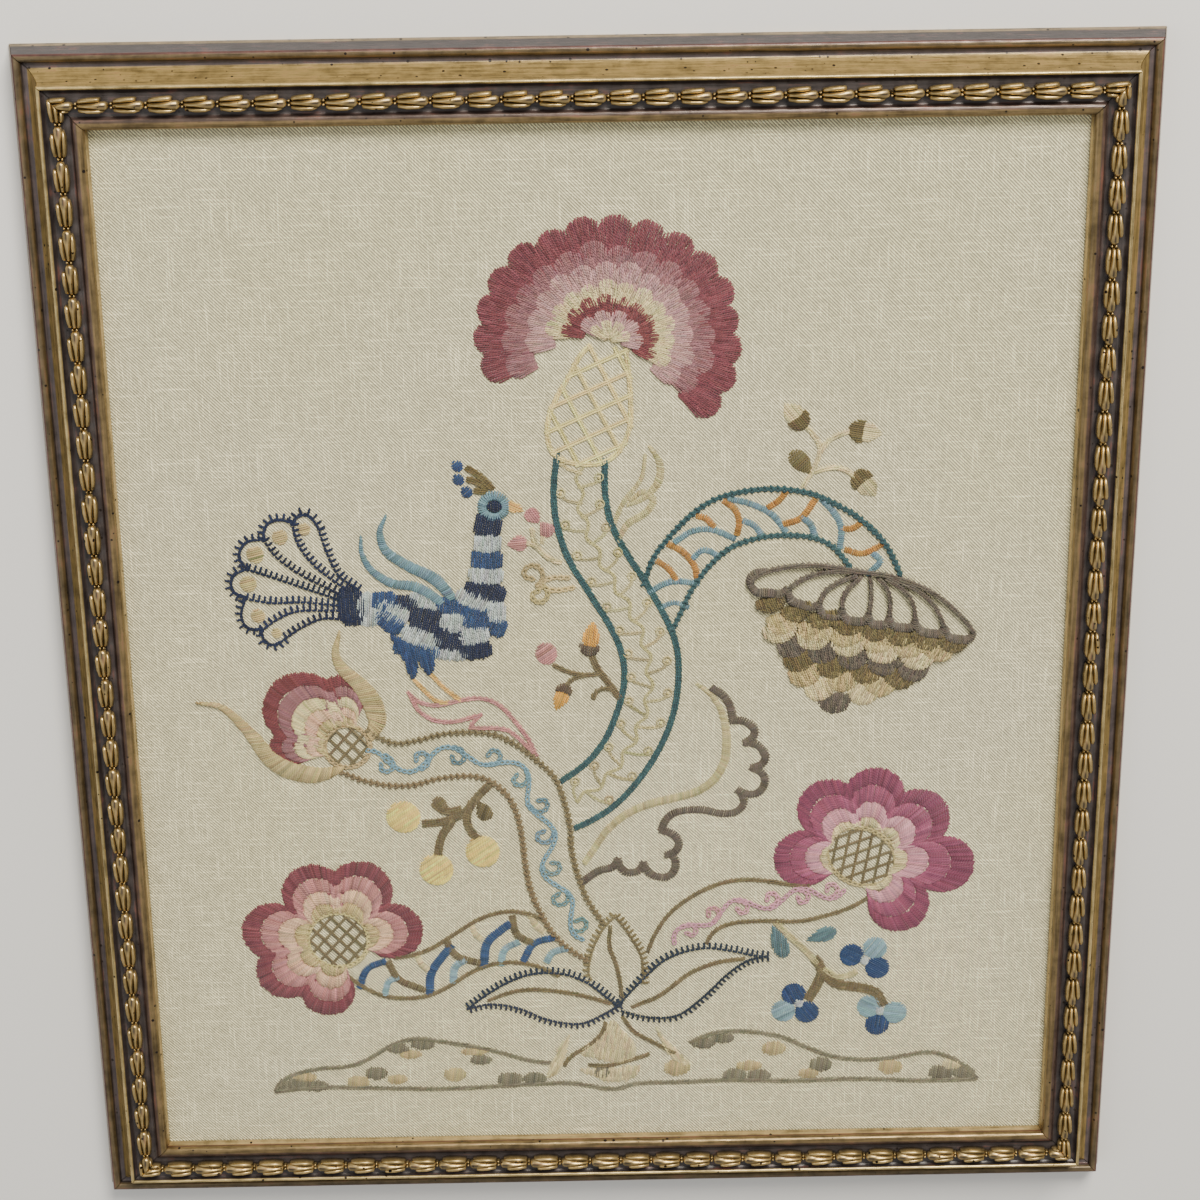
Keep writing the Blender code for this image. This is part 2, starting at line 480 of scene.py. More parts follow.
def work_trunk(work):
    left, right = smooth(TRUNK_LEFT), smooth(TRUNK_RIGHT)
    for edge in (left, right):
        stem(work, edge, "teal", TRUNK_LINES)
    shares = np.linspace(0, 1, TRUNK_POINTS)
    middle = (shared_out(left, shares) + shared_out(right, shares)) / 2
    wave = beside(middle, np.sin(shares * math.pi * TRUNK_KNOTS) * TRUNK_WAVE)
    work.link("fine chain", wave[6:-8], "ecru")
    for knot in range(TRUNK_KNOTS):
        at = int((knot + 0.5) / TRUNK_KNOTS * KNOT_SPREAD)
        side = 1 if knot % 2 else -1
        spot = beside(middle, side * KNOT_REACH)[at]
        bend = beside(middle, side * KNOT_REACH * 0.6)[min(at + 5, TRUNK_POINTS - 1)]
        root = middle[min(at + 7, TRUNK_POINTS - 1)]
        work.link("fine chain", smooth((root, bend, spot + (0, -KNOT_RING))), "ecru")
        ringed(work, spot, KNOT_RING, 0.6, 0.15, "ecru", 0.8)
        ringed(work, spot, FRENCH_KNOT, 0.4, 0.35, "pale yellow")
    for width, line in CREAM_LEAF:
        satin_band(work, smooth(line), width, "ecru", slant=0.6)


def work_arched_branch(work):
    for outline in (ARCH_OUTER, ARCH_INNER):
        work.link("coral", smooth(outline), "teal")
        stem(work, outline, "teal", 2)
    bands(work, ARCH_BANDS)


# ---------------------------------------------------------------- hanging parasol flower

# The lines that part the parasol's panels, from its hub to its scalloped rim, and the rim's lowest points.
PARASOL_RIBS = (
    ((119, 44.5), (108, 47), (94, 48.5), (80, 47), (70, 43.5), (68, 39.5)),
    ((115, 44.8), (104, 45.3), (93, 42.5), (85, 37)),
    ((117, 43.5), (108, 40), (102, 35.5), (99.5, 29.5)),
    ((119, 43), (114, 38.5), (110.5, 33), (110, 26.5)),
    ((122.5, 42.5), (123.2, 36), (123, 30), (122.3, 24)),
    ((126, 42), (130, 37), (132, 31), (131.7, 22.5)),
    ((129, 42), (137, 36.5), (142.5, 29), (143.5, 20.5)),
    ((132, 42), (145, 35), (153, 26.5), (157, 17)),
    ((106, 47), (121, 44.5), (134, 42), (149, 35.5), (160, 27), (168, 18.5), (170.5, 14)),
)
PARASOL_RIM = (
    (76.5, 35), (91.5, 29), (104.5, 23.5), (116, 20.5), (127, 18.5), (138, 17), (150.5, 14), (164, 10.8),
)
PARASOL_LIP = ((75, 46), (69.5, 43.8), (68, 40), (69.5, 37))
# Rows of scales from the foot upwards: shade, the tips of the first and last, how many, how wide, the row's
# sag, and how high.
SCALE_ROWS = (
    ("taupe", (107, -25), (107, -25), 1, 15.0, 0.0, 10.5),
    ("cream", (103, -18), (117, -20), 2, 14.0, 0.0, 10.5),
    ("gold cream", (96, -11), (124.5, -16), 3, 15.0, 0.6, 10.5),
    ("moss", (93.5, -3.5), (133.5, -12.5), 4, 15.0, 1.0, 10.5),
    ("taupe", (90, 3.5), (139.5, -9), 5, 14.0, 0.6, 10.5),
    ("cream", (84.5, 11), (141, -3), 5, 16.0, 1.0, 10.5),
    ("gold cream", (86, 15.5), (151, 1), 6, 15.5, 2.0, 10.5),
    ("moss", (79.5, 25.5), (157.5, 5), 8, 14.0, 3.2, 8.5),
)
SCALE_STEP = 0.24  # how much higher each row of scales lies than the one under it
SCALE_LEAN = (-68, -118)  # the angles at which a row's first and last scales point


def work_parasol_flower(work):
    for index, (shade, first, last, count, wide, sag, high) in enumerate(SCALE_ROWS):
        for share in np.linspace(0, 1, count) if count > 1 else (0.5,):
            tip = np.array(first) * (1 - share) + np.array(last) * share
            tip = tip - (0, sag * 4 * share * (1 - share))
            angle = SCALE_LEAN[0] * (1 - share) + SCALE_LEAN[1] * share
            scale(work, tip - towards(angle, high), angle, high, wide, shade, SCALE_STEP * index, 0.95, 0.9)
    rim_lift = SCALE_STEP * len(SCALE_ROWS)
    for rib in PARASOL_RIBS:
        stem(work, rib, "taupe", 2, lift=rim_lift)
    satin_band(work, smooth(PARASOL_LIP), (1.8, 3.8, 3.8, 3.0), "taupe", lift=rim_lift)
    for first, low, last in zip(PARASOL_RIBS, PARASOL_RIM, PARASOL_RIBS[1:]):
        before = np.array(low) * 0.5 + np.array(first[-1]) * 0.5 - (1.5, 1.8)
        after = np.array(low) * 0.5 + np.array(last[-1]) * 0.5 + (1.2, -1.6)
        scallop = smooth((first[-1], before, low, after, last[-1]))
        satin_band(work, scallop, (2.8, 3.8, 4.2, 3.8, 2.8), "taupe", lift=rim_lift)


# ---------------------------------------------------------------- sprigs

def bud(work, centre, angle, size, cup, kernel, point=1.35):
    """An acorn or bud: a kernel of long stitches that shows out of a cup."""
    centre = np.array(centre, float)
    out = towards(angle)
    nut = drop(centre + out * size * point, centre - out * size * 0.2, size * 1.35)
    satin_shape(work, nut, angle, kernel)
    satin_shape(work, oval(centre, size * 0.82, size * 0.95, angle + 180, -98, 98), angle, cup, lift=0.25)


# Stems: how many rows of stem stitch, and the line.
ACORN_SPRIG_STEMS = (
    (3, ((9, -16), (3, -7), (-2, 0), (-4, 6))),
    (2, ((0, -3), (-8, -3.5), (-16, -1.5), (-22, 2))),
    (2, ((-6, -3.5), (-13, -5), (-17, -10))),
    (2, ((6, -11), (1, -10), (-3, -12), (-4, -16))),
)
OLIVE_SPRIG_STEMS = (
    (2, ((91, 85), (96, 93), (99, 102), (98, 106), (93, 113))),
    (2, ((99, 101), (102, 106), (107, 109), (113, 111))),
    (2, ((96, 92), (104, 94), (110, 93), (115, 89))),
)
# Middle, and the angle a bud points at.
OLIVE_SPRIG_BUDS = (
    ((88.5, 117), 130),
    ((117.5, 110.5), -10),
    ((118.5, 87), -50),
)
# Base, tip, width and the stitches' angle.
PINK_BUDS = (
    ((-27, 70), (-32, 76.5), 7.0, 125),
    ((-26.5, 70.5), (-21.5, 64), 7.4, 90),
    ((-41.5, 60), (-32.5, 61), 7.4, 5),
)
PINK_BUD_STEMS = (
    ((-17, 51), (-24, 54), (-29, 61), (-30, 68)),
    ((-27, 58), (-30, 60), (-33, 61)),
    ((-26, 60), (-25, 64)),
)


def work_sprigs(work):
    """The small sprigs by the trunk and over the arched branch."""
    stems(work, ACORN_SPRIG_STEMS, "olive")
    satin_shape(work, oval((-25, 7.2), 5.4, 5.0), 35, "pink")
    bud(work, (-5, 10.5), 82, 5.6, "acorn brown", "acorn orange", 2.2)
    bud(work, (-17.5, -12), -112, 4.8, "acorn brown", "acorn orange", 2.0)
    stems(work, OLIVE_SPRIG_STEMS, "cream")
    for centre, angle in OLIVE_SPRIG_BUDS:
        bud(work, centre, angle, 6.6, "moss", "cream")
    satin_shape(work, drop((95.5, 91), (86, 101.5), 8.5), 45, "moss")
    for base, tip, width, angle in PINK_BUDS:
        satin_shape(work, drop(base, tip, width), angle, "pink")
    for line in PINK_BUD_STEMS:
        stem(work, line, "cream", 2)
    hooks = (scroll((-31, 46), 6.0, -60, 330), scroll((-28, 36), 5.2, 70, -330))
    ties = (smooth(((-28, 41), (-22, 44), (-15, 44))), smooth(((-27, 40), (-20, 38), (-13, 39))))
    for line in hooks + ties:
        work.link("chain", line, "gold cream")


# ---------------------------------------------------------------- peacock

# The tail: the lines that part the feathers, from their tips to the base, and each feather's round end.
TAIL_LINES = (
    ((-126, 69.5), (-122.5, 57), (-118, 47), (-110, 40.5)),
    ((-137.5, 72), (-135.5, 62), (-128, 51), (-116, 41)),
    ((-151, 64.5), (-145.5, 56), (-135, 47.5), (-119, 38.5)),
    ((-159, 50.5), (-148, 46.5), (-135, 41.5), (-119, 35.5)),
    ((-160.5, 36.5), (-149, 34.2), (-135, 34.3), (-119, 32.5)),
    ((-154, 21), (-147, 26), (-137, 30), (-119, 30)),
    ((-143.5, 17), (-135, 22.5), (-125, 26.3), (-112, 24.5)),
)
FEATHER_ENDS = (
    ((-137.5, 72), (-134.5, 76), (-129.5, 75.5), (-126, 69.5)),
    ((-151, 64.5), (-149.5, 71), (-144, 74), (-137.5, 72)),
    ((-159, 50.5), (-162.5, 57), (-158.5, 63.5), (-151, 64.5)),
    ((-160.5, 36.5), (-166.5, 40.5), (-165.5, 48), (-159, 50.5)),
    ((-154, 21), (-161, 22.5), (-163, 29), (-160.5, 36.5)),
    ((-143.5, 17), (-149, 13.5), (-153.5, 16), (-154, 21)),
)
# Middle and radius.
FEATHER_SPOTS = (
    ((-132.5, 69), 3.0), ((-143.5, 65.5), 3.6), ((-155, 57.5), 4.0),
    ((-159, 43.5), 3.8), ((-155.5, 28), 3.3), ((-147.5, 19.5), 2.4),
)
# The bird's coat, patch by patch: its shade, middle, half length, half width and how far it is turned.
BIRD_PATCHES = (
    ("pale grey blue", (-105, 30), 5.0, 8.5, 0), ("navy", (-113, 32), 6.0, 10.0, 4),
    ("pale grey blue", (-94, 28.5), 7.5, 5.5, -25), ("pale grey blue", (-79, 34), 7.5, 4.5, -15),
    ("mid blue", (-98, 34), 6.0, 4.8, 0), ("navy", (-88, 33), 5.5, 3.8, -15),
    ("mid blue", (-96, 24), 7.0, 4.8, -35), ("pale grey blue", (-69, 8), 8.5, 3.5, -5),
    ("mid blue", (-84, 10), 11.0, 4.2, -8), ("pale grey blue", (-82, 16), 9.5, 4.8, -22),
    ("navy", (-79, 24.5), 8.0, 6.5, -10), ("mid blue", (-66.5, 31), 8.0, 4.2, -5),
    ("navy", (-69, 15.5), 7.0, 6.2, -10), ("pale grey blue", (-67, 23), 6.2, 5.2, 0),
    ("navy", (-57, 9.5), 7.5, 4.6, 6), ("pale grey blue", (-57.5, 16.5), 7.0, 5.0, 15),
    ("mid blue", (-56.5, 25.5), 7.0, 6.0, -10), ("pale grey blue", (-57, 33.5), 9.0, 4.2, -22),
    ("pale grey blue", (-47, 28), 4.2, 6.0, 0), ("mid blue", (-46.8, 20.5), 4.0, 5.0, -20),
    ("navy", (-52, 38), 9.5, 4.8, -16), ("pale grey blue", (-51.5, 45.5), 8.0, 4.5, -4),
    ("mid blue", (-51, 53.2), 7.4, 5.2, 0), ("pale grey blue", (-50.5, 61), 6.4, 4.8, 0),
    ("navy", (-50, 69.5), 6.4, 5.8, -8),
)
# Widths from tip to root, and the line.
BACK_PLUMES = (
    ((0.8, 3.4, 4.6, 5.0, 5.6, 4.4),
     ((-95.5, 74.5), (-98.5, 67), (-96, 58), (-86, 50.5), (-75, 44.5), (-67, 35))),
    ((0.8, 2.6, 3.6, 4.4, 4.8, 4.2),
     ((-107, 65), (-107, 57), (-103, 49), (-94, 42.5), (-83, 40.5), (-72, 33))),
)
THIGHS = (
    ((-96, 18), (-88, 14), (-83.5, 8), (-84, 0), (-86, -4.5), (-88, -2), (-91, 7)),
    ((-84, 10), (-78, 9), (-76, 3), (-78, -2.5), (-80.5, -1), (-83, 4)),
)
LEGS = (
    ((-86, -4), (-82, -9), (-76, -15.5), (-70, -16)),
    ((-78.5, -1), (-73, -8), (-68, -12.5), (-64, -15.5)),
)
# The crest's plumes, each with the middle of the dot at its end.
CREST = (
    (((-47, 86), (-52, 92), (-59, 97)), (-62.8, 97.3)),
    (((-49, 86), (-54, 90), (-59, 91.5)), (-62.5, 91)),
    (((-50, 85), (-54, 86), (-56, 86)), (-59, 85.2)),
)


def blanket_line(work, line, shade, side=1):
    """Blanket stitch along a line, its bars on the left (side 1) or the right (side -1)."""
    work.link("blanket left" if side > 0 else "blanket right", line, shade)


def work_peacock_tail(work):
    for line in TAIL_LINES:
        blanket_line(work, smooth(line), "navy", side=1)
    for end in FEATHER_ENDS:
        blanket_line(work, smooth(end), "navy", side=1)
        stem(work, end, "navy", lift=0.2)
    for place, radius in FEATHER_SPOTS:
        satin_shape(work, oval(place, radius, radius), 15, "gold cream")


BLOCK_POINTS = 36
BLOCK_ROUNDNESS = 0.62  # 1 would be an oval, and 0 a rectangle


def block(centre, along, across, angle):
    """A closed outline between an oval and a rectangle."""
    turn = np.linspace(0, math.tau, BLOCK_POINTS, endpoint=False)
    squared = [np.sign(wave) * np.abs(wave) ** BLOCK_ROUNDNESS for wave in (np.cos(turn), np.sin(turn))]
    out, side = towards(angle, along), towards(angle + 90, across)
    return np.array(centre) + np.outer(squared[0], out) + np.outer(squared[1], side)


def work_peacock(work):
    for index, (shade, centre, along, across, angle) in enumerate(BIRD_PATCHES):
        patch = block(centre, along, across, angle)
        satin_shape(work, patch, angle + 86, shade, ragged=0.5, lift=0.03 * index, longest=6.5)
    for width, line in BACK_PLUMES:
        satin_band(work, smooth(line), width, "light blue", slant=0.5, lift=0.55)
    for thigh in THIGHS:
        satin_shape(work, smooth(thigh, closed=True), 100, "mid blue", lift=0.5, longest=7.0)
    for leg in LEGS:
        stem(work, leg, "beak", 2)
    satin_band(work, oval((-47, 78.3), 5.0, 5.3), 4.2, "light blue", lift=0.7)
    satin_shape(work, oval((-46.6, 78.3), 3.0, 3.2), 90, "navy", lift=0.8)
    satin_shape(work, drop((-33.8, 75.8), (-41, 79.5), 5.2), -25, "beak", lift=0.3)
    for line, dot in CREST:
        stem(work, line, "moss", 3)
        satin_shape(work, oval(dot, 2.7, 2.7), 40, "mid blue", lift=0.1)


# ---------------------------------------------------------------- tulip and the vine branch

SCROLL_LEAF_LINES = (
    ((-89, -10), (-85, -15), (-77, -17.5), (-67, -15.5), (-57, -14), (-48, -17), (-40, -26), (-33, -37),
     (-30.5, -44)),
    ((-88, -11), (-85, -19), (-77, -25), (-67, -25.5), (-60, -23.5), (-55, -22.5)),
    ((-56, -23), (-61.5, -28.5), (-53, -29), (-44, -30), (-38, -35), (-31, -43)),
)
VINE_UPPER = (
    (-108, -29), (-103, -33), (-95, -36), (-85, -34.5), (-73, -31.5), (-60, -31), (-48, -33), (-38, -39),
    (-30, -46), (-22, -55), (-18, -67), (-15.5, -80), (-15, -92), (-12, -106), (-8, -118), (-1, -130),
)
VINE_LOWER = (
    (-121, -50), (-112, -54), (-100, -57), (-88, -57), (-76, -54), (-62, -53), (-52, -56), (-44, -64),
    (-40, -74), (-38, -86), (-37, -98), (-35, -111), (-31, -123), (-25, -135), (-17, -144), (-9, -150),
)
VINE_SCROLLS = {"turns": 5.0, "swing": 4.5, "radius": 5.0}
TULIP_EYE = {"centre": (-118, -37), "across": 10.5, "along": 10.5}
# Petals: the angle each points at, how far it reaches from the flower's centre, and half its width.
TULIP_PETALS = (
    (136.5, 45.5, 18.5),
    (93, 35.5, 10.5),
    (180, 36, 9.0),
)
TULIP_ARCHES = ("red rose", "mauve", "cream", "peach", "gold cream")
SEPALS = (
    ((0.8, 3.0, 5.0, 7.5, 9.5, 8.0, 3.0),
     ((-185, -14), (-174, -17), (-163, -29), (-154, -42), (-144, -49), (-132, -51.5), (-121, -48.5))),
    ((0.8, 3.4, 5.5, 7.5, 9.5, 9.0, 5.0),
     ((-119, 18.5), (-121, 9), (-118, 1), (-110.5, -7), (-105.5, -16), (-104, -25), (-107.5, -32))),
)
BERRY_STEMS = (
    (4, ((-52, -57), (-58, -63), (-64, -71), (-74, -76), (-85, -77))),
    (4, ((-66, -70), (-74, -71), (-79, -66))),
    (4, ((-61, -66), (-64, -74), (-62, -82), (-58, -86))),
    (4, ((-70, -75), (-76, -84), (-78, -94))),
)
BERRIES = ((-93.5, -73.5), (-57, -92), (-79, -101))
BERRY_RADIUS = 8.0


ARCH_SWEEP = 125  # degrees that an arch runs down each side of its petal
ARCH_LIFT = 0.14


ARCH_GAIN = 1.15  # over 1, the inner arches are narrower than the outer
ARCH_NARROWING = (-0.82, 0.15)  # how an arch's width falls with its inset: in line, and with its square


def arches(count):
    """How far in from a petal's tip each arch of stitching starts, as a share of the petal's height over the
    eye, and the arch's width as a share of the petal's."""
    insets = 1 - (1 - np.linspace(0, 1, count + 1)) ** ARCH_GAIN
    return list(zip(insets, 1 + ARCH_NARROWING[0] * insets + ARCH_NARROWING[1] * insets ** 2))


def lobed_flower(work, eye, petals, shades):
    """A flower of round petals, each worked as arches one inside the other, down to the eye."""
    centre = np.array(eye["centre"], float)
    rim = (eye["across"] + eye["along"]) / 2
    for layer, shade in enumerate(shades):
        for angle, reach, half in petals:
            depth = reach - eye["across"]
            lines = []
            for inset, width in arches(len(shades))[layer:layer + 2]:
                radius = half * width
                foot = centre + towards(angle, reach - inset * depth - radius)
                out = oval(foot, radius, radius, angle, -ARCH_SWEEP, ARCH_SWEEP) - centre
                within = rim / np.linalg.norm(out, axis=1)
                lines.append(centre + out * np.maximum(within, 1.0)[:, None])
            satin_between(work, lines[0], lines[1], shade, ragged=0.5, lift=ARCH_LIFT * layer)


def netted_eye(work, eye, shade, angles=(48, 132)):
    """A flower's middle: a ring of chain stitch with a lattice inside."""
    turn = eye.get("turn", 0)
    work.link("chain", oval(eye["centre"], eye["across"], eye["along"], turn), "gold cream")
    inside = oval(eye["centre"], eye["across"] - 1, eye["along"] - 1, turn)
    trellis(work, inside, angles, 5.3, shade, apart=0.4, shift=(2.4, 2.4))


def work_tulip(work):
    lobed_flower(work, TULIP_EYE, TULIP_PETALS, TULIP_ARCHES)
    netted_eye(work, TULIP_EYE, "olive")
    for width, line in SEPALS:
        satin_band(work, smooth(line), width, "gold cream", slant=1.6, lift=0.5)


VINE_POINTS = 220
HOOK_PLACE, HOOK_INSET, HOOK_SWEEP = 0.62, 1.2, 270  # share of a half turn, millimetres, degrees


def vine(work, first, second, shade, turns, swing, radius):
    """A scrolling vine between two outlines: a waving line with hooks on alternate sides."""
    shares = np.linspace(0.03, 0.97, VINE_POINTS)
    middle = (shared_out(first, shares) + shared_out(second, shares)) / 2
    work.link("chain", beside(middle, np.sin(shares * turns * 2 * math.pi) * swing), shade)
    normal = left_of(middle)
    for half_turn in range(int(2 * turns)):
        at = int((half_turn + HOOK_PLACE) / (2 * turns) * (VINE_POINTS - 1))
        side = -1 if half_turn % 2 else 1
        along = middle[min(at + 3, VINE_POINTS - 1)] - middle[max(at - 3, 0)]
        heading = math.degrees(math.atan2(along[1], along[0]))
        centre = middle[at] - normal[at] * side * HOOK_INSET
        work.link("chain", scroll(centre, radius, heading + 90 * side, -HOOK_SWEEP * side), shade)


def work_vine_branch(work):
    for line in SCROLL_LEAF_LINES:
        stem(work, line, "pink", 2)
    upper, lower = smooth(VINE_UPPER), smooth(VINE_LOWER)
    for line in (upper, lower):
        work.link("coral", line, "olive")
        stem(work, line, "olive")
    vine(work, upper, lower, "light blue", **VINE_SCROLLS)
    stems(work, BERRY_STEMS, "olive")
    satin_shape(work, drop((-58, -66), (-54, -76), 7.5), 70, "moss")
    satin_shape(work, drop((-72, -71), (-79, -64), 6.0), 40, "olive")
    for berry in BERRIES:
        satin_shape(work, oval(berry, BERRY_RADIUS, BERRY_RADIUS), 35, "berry yellow", lift=0.2)


# ---------------------------------------------------------------- scalloped leaf

LEAF_SCALLOPS = (
    ((50.5, -11), (56, -15), (59.5, -21), (60.5, -28)),
    ((60, -27.5), (66, -28), (70.5, -32), (70, -36), (66, -39)),
    ((66, -38.5), (72, -40), (75.8, -45.5), (74, -50), (69, -51.5)),
    ((69, -51), (74, -54), (75.8, -58.5), (73, -64), (68, -65), (62.5, -62.5)),
    ((64.5, -64), (66, -69.5), (62, -74), (55, -74.5), (46, -72.5), (36, -73), (30, -76.5), (27, -83)),
    ((27, -82.5), (33, -85), (35.5, -90), (33, -94.5), (29, -95.5)),
    ((30, -94), (33.5, -97.5), (33.5, -103), (30, -107), (24, -106.5), (20, -103), (18.5, -99)),
    ((19, -99.5), (16.5, -103.5), (11.5, -104.5), (8, -102), (6.5, -97)),
    ((7, -97.5), (4, -101.5), (-3, -103.5), (-11, -109.5)),
)
LEAF_MIDRIB = (
    (44, -9), (50, -14), (55, -22), (57.5, -33), (57, -47), (52, -57), (44, -63), (34, -66), (22, -69),
    (11, -74), (2, -82), (-4, -91), (-9, -99),
)


def work_scalloped_leaf(work):
    for scallop in LEAF_SCALLOPS:
        satin_band(work, smooth(scallop), 3.9, "taupe", slant=0.4)
    satin_band(work, smooth(LEAF_MIDRIB), (1.5, 3, 4, 4.2, 4.2, 4.2, 4, 3.5, 3), "ecru", slant=0.5)


# ---------------------------------------------------------------- rose and plum flowers

ROSE_EYE = {"centre": (-127, -137), "across": 14.5, "along": 14.5}
ROSE_PETALS = (
    (113, 42, 15), (66, 43.5, 15.5),
    (9, 41, 14.5), (171, 46, 15),
    (213, 45, 14.5), (257, 41.5, 13),
)
ROSE_ARCHES = ("dark rose", "pink", "peach", "gold cream")
PLUM_EYE = {"centre": (121.5, -98), "across": 14, "along": 17.5, "turn": 145}
PLUM_PETALS = (
    (181, 41.5, 14.5), (122, 44.5, 15),
    (80, 46, 14), (36, 47.5, 15),
    (-7, 54, 14.5), (-54, 46, 14.5),
)
PLUM_ARCHES = ("plum", "orchid", "light pink", "cream")


ROSE_BRANCH_UPPER = (
    (-101, -147), (-92, -146), (-82, -142), (-70, -134), (-58, -126.5), (-46, -123.5), (-36, -125),
    (-28, -129),
)
ROSE_BRANCH_LOWER = (
    (-129, -151), (-118, -161), (-108, -167), (-97, -169), (-86, -168), (-76, -163.5), (-64, -155.5),
    (-52, -151), (-40, -151), (-30, -154), (-22, -159),
)
ROSE_BRANCH_BANDS = (
    ("slate blue", 3.4, ((-118, -163), (-114, -153), (-105, -149))),
    ("slate blue", 4.0, ((-84.5, -167), (-83, -155), (-73, -141))),
    ("slate blue", 4.2, ((-58, -153), (-56, -140), (-45, -130))),
    ("slate blue", 3.6, ((-39, -150), (-34, -141), (-24, -138))),
    ("olive", 3.4, ((-104, -149), (-99, -159), (-87, -165))),
    ("olive", 3.6, ((-76, -138), (-71, -147), (-60, -151))),
    ("olive", 3.6, ((-44, -126), (-42, -136), (-34, -141))),
    ("sky", 3.0, ((-106, -167), (-104, -160), (-99, -158))),
    ("sky", 3.6, ((-73, -161), (-72, -153), (-67, -149))),
    ("sky", 3.4, ((-50, -152), (-48, -144), (-41, -140))),
    ("sky", 3.4, ((-28, -151), (-25, -146), (-18, -144))),
    ("cream", 2.6, ((-90, -146), (-88, -151), (-85, -154))),
    ("cream", 2.6, ((-63, -131), (-62, -135), (-59, -138))),
    ("cream", 3.2, ((-35, -126), (-33, -131), (-29, -135))),
)
PLUM_BRANCH_UPPER = (
    (20, -147), (24, -137), (31, -126), (42, -117), (54, -111), (66, -109), (78, -110), (88, -112),
    (98, -112.5),
)
PLUM_BRANCH_LOWER = (
    (48, -143), (52, -136), (60, -132), (70, -131), (80, -131), (92, -131.5), (104, -129), (116, -125),
    (126, -119), (132, -114),
)
PLUM_SCROLLS = {"turns": 3.0, "swing": 4.0, "radius": 4.2}


def work_rose(work):
    lobed_flower(work, ROSE_EYE, ROSE_PETALS, ROSE_ARCHES)
    netted_eye(work, ROSE_EYE, "olive")
    for line in (ROSE_BRANCH_UPPER, ROSE_BRANCH_LOWER):
        stem(work, line, "olive", 2)
    bands(work, ROSE_BRANCH_BANDS)


def work_plum_flower(work):
    lobed_flower(work, PLUM_EYE, PLUM_PETALS, PLUM_ARCHES)
    netted_eye(work, PLUM_EYE, "olive", (20, 80, 140))
    upper, lower = smooth(PLUM_BRANCH_UPPER), smooth(PLUM_BRANCH_LOWER)
    for line in (upper, lower):
        stem(work, line, "olive", 2)
    vine(work, upper, lower, "light pink", **PLUM_SCROLLS)


# ---------------------------------------------------------------- leaves at the foot, blue flowers and ground

LEFT_LEAF = {
    "upper": ((-66, -175), (-58, -168.5), (-46, -161), (-34, -157), (-20, -157.5), (-8, -163), (1, -171),
              (6, -175)),
    "lower": ((-66, -175), (-55, -173), (-42, -175.5), (-28, -182), (-13, -184.5), (-2, -180), (6, -175)),
    "rib": ((-57, -171), (-42, -166), (-28, -166), (-12, -169), (3, -174)),
}
RIGHT_LEAF = {
    "upper": ((5, -176), (18, -161), (30, -150), (46, -145), (60, -146.5), (70, -149), (77, -150)),
    "lower": ((8, -178), (20, -181.5), (34, -181), (46, -172), (58, -159.5), (68, -152), (77, -150)),
    "rib": ((12, -176), (26, -170), (40, -158.5), (54, -152.5), (67, -151)),
}
UPRIGHT_LEAF = {
    "left": ((5, -127), (-1, -134), (-6, -145), (-8, -156), (-7, -160)),
    "right": ((5, -127), (11, -136), (17, -148), (18, -158), (18, -162)),
    "rib": ((3, -132), (2, -142), (5, -152), (7, -162), (8, -172)),
}
# Shade, rows of stem stitch and line.
BLUE_SPRIG_STEMS = (
    ("ecru", 3, ((81, -131), (88, -139), (96, -147), (102, -155))),
    ("olive", 5, ((100, -151), (104, -158), (101, -167), (97, -174))),
    ("olive", 5, ((103, -156), (110, -165), (120, -167), (130, -170), (134, -178))),
    ("ecru", 3, ((104, -156), (112, -162), (121, -159))),
)
# The middle of each flower, then its petals.
BLUE_FLOWERS = (
    ((93, -175.5), (("mid blue", (90.5, -170.5)), ("mid blue", (97, -180.5)), ("sky", (85.5, -179.5)))),
    ((124, -153), (("mid blue", (118, -150)), ("sky", (129, -146.5)), ("mid blue", (130.5, -157)))),
    ((132, -180.5), (("sky", (127, -178)), ("sky", (139.5, -181.5)), ("mid blue", (131, -188)))),
)
BLUE_PETAL = 5.8
GROUND_LINES = (
    ((-162, -219), (-158, -213), (-150, -209), (-138, -206.5), (-124, -205.5), (-114, -201), (-104, -194.5),
     (-92, -191), (-80, -193), (-64, -196), (-50, -200), (-38, -204), (-27, -206)),
    ((-162, -219), (-140, -217), (-110, -218), (-80, -219), (-50, -218), (-20, -217), (-8, -219), (5, -221),
     (14, -218), (40, -217.5), (60, -217), (90, -218), (120, -217.5), (150, -219), (181, -219)),
    ((40, -196), (50, -191.5), (60, -190), (74, -191), (86, -194), (98, -200), (110, -205), (125, -207),
     (140, -206), (155, -203.5), (166, -206), (175, -212), (181, -219)),
)
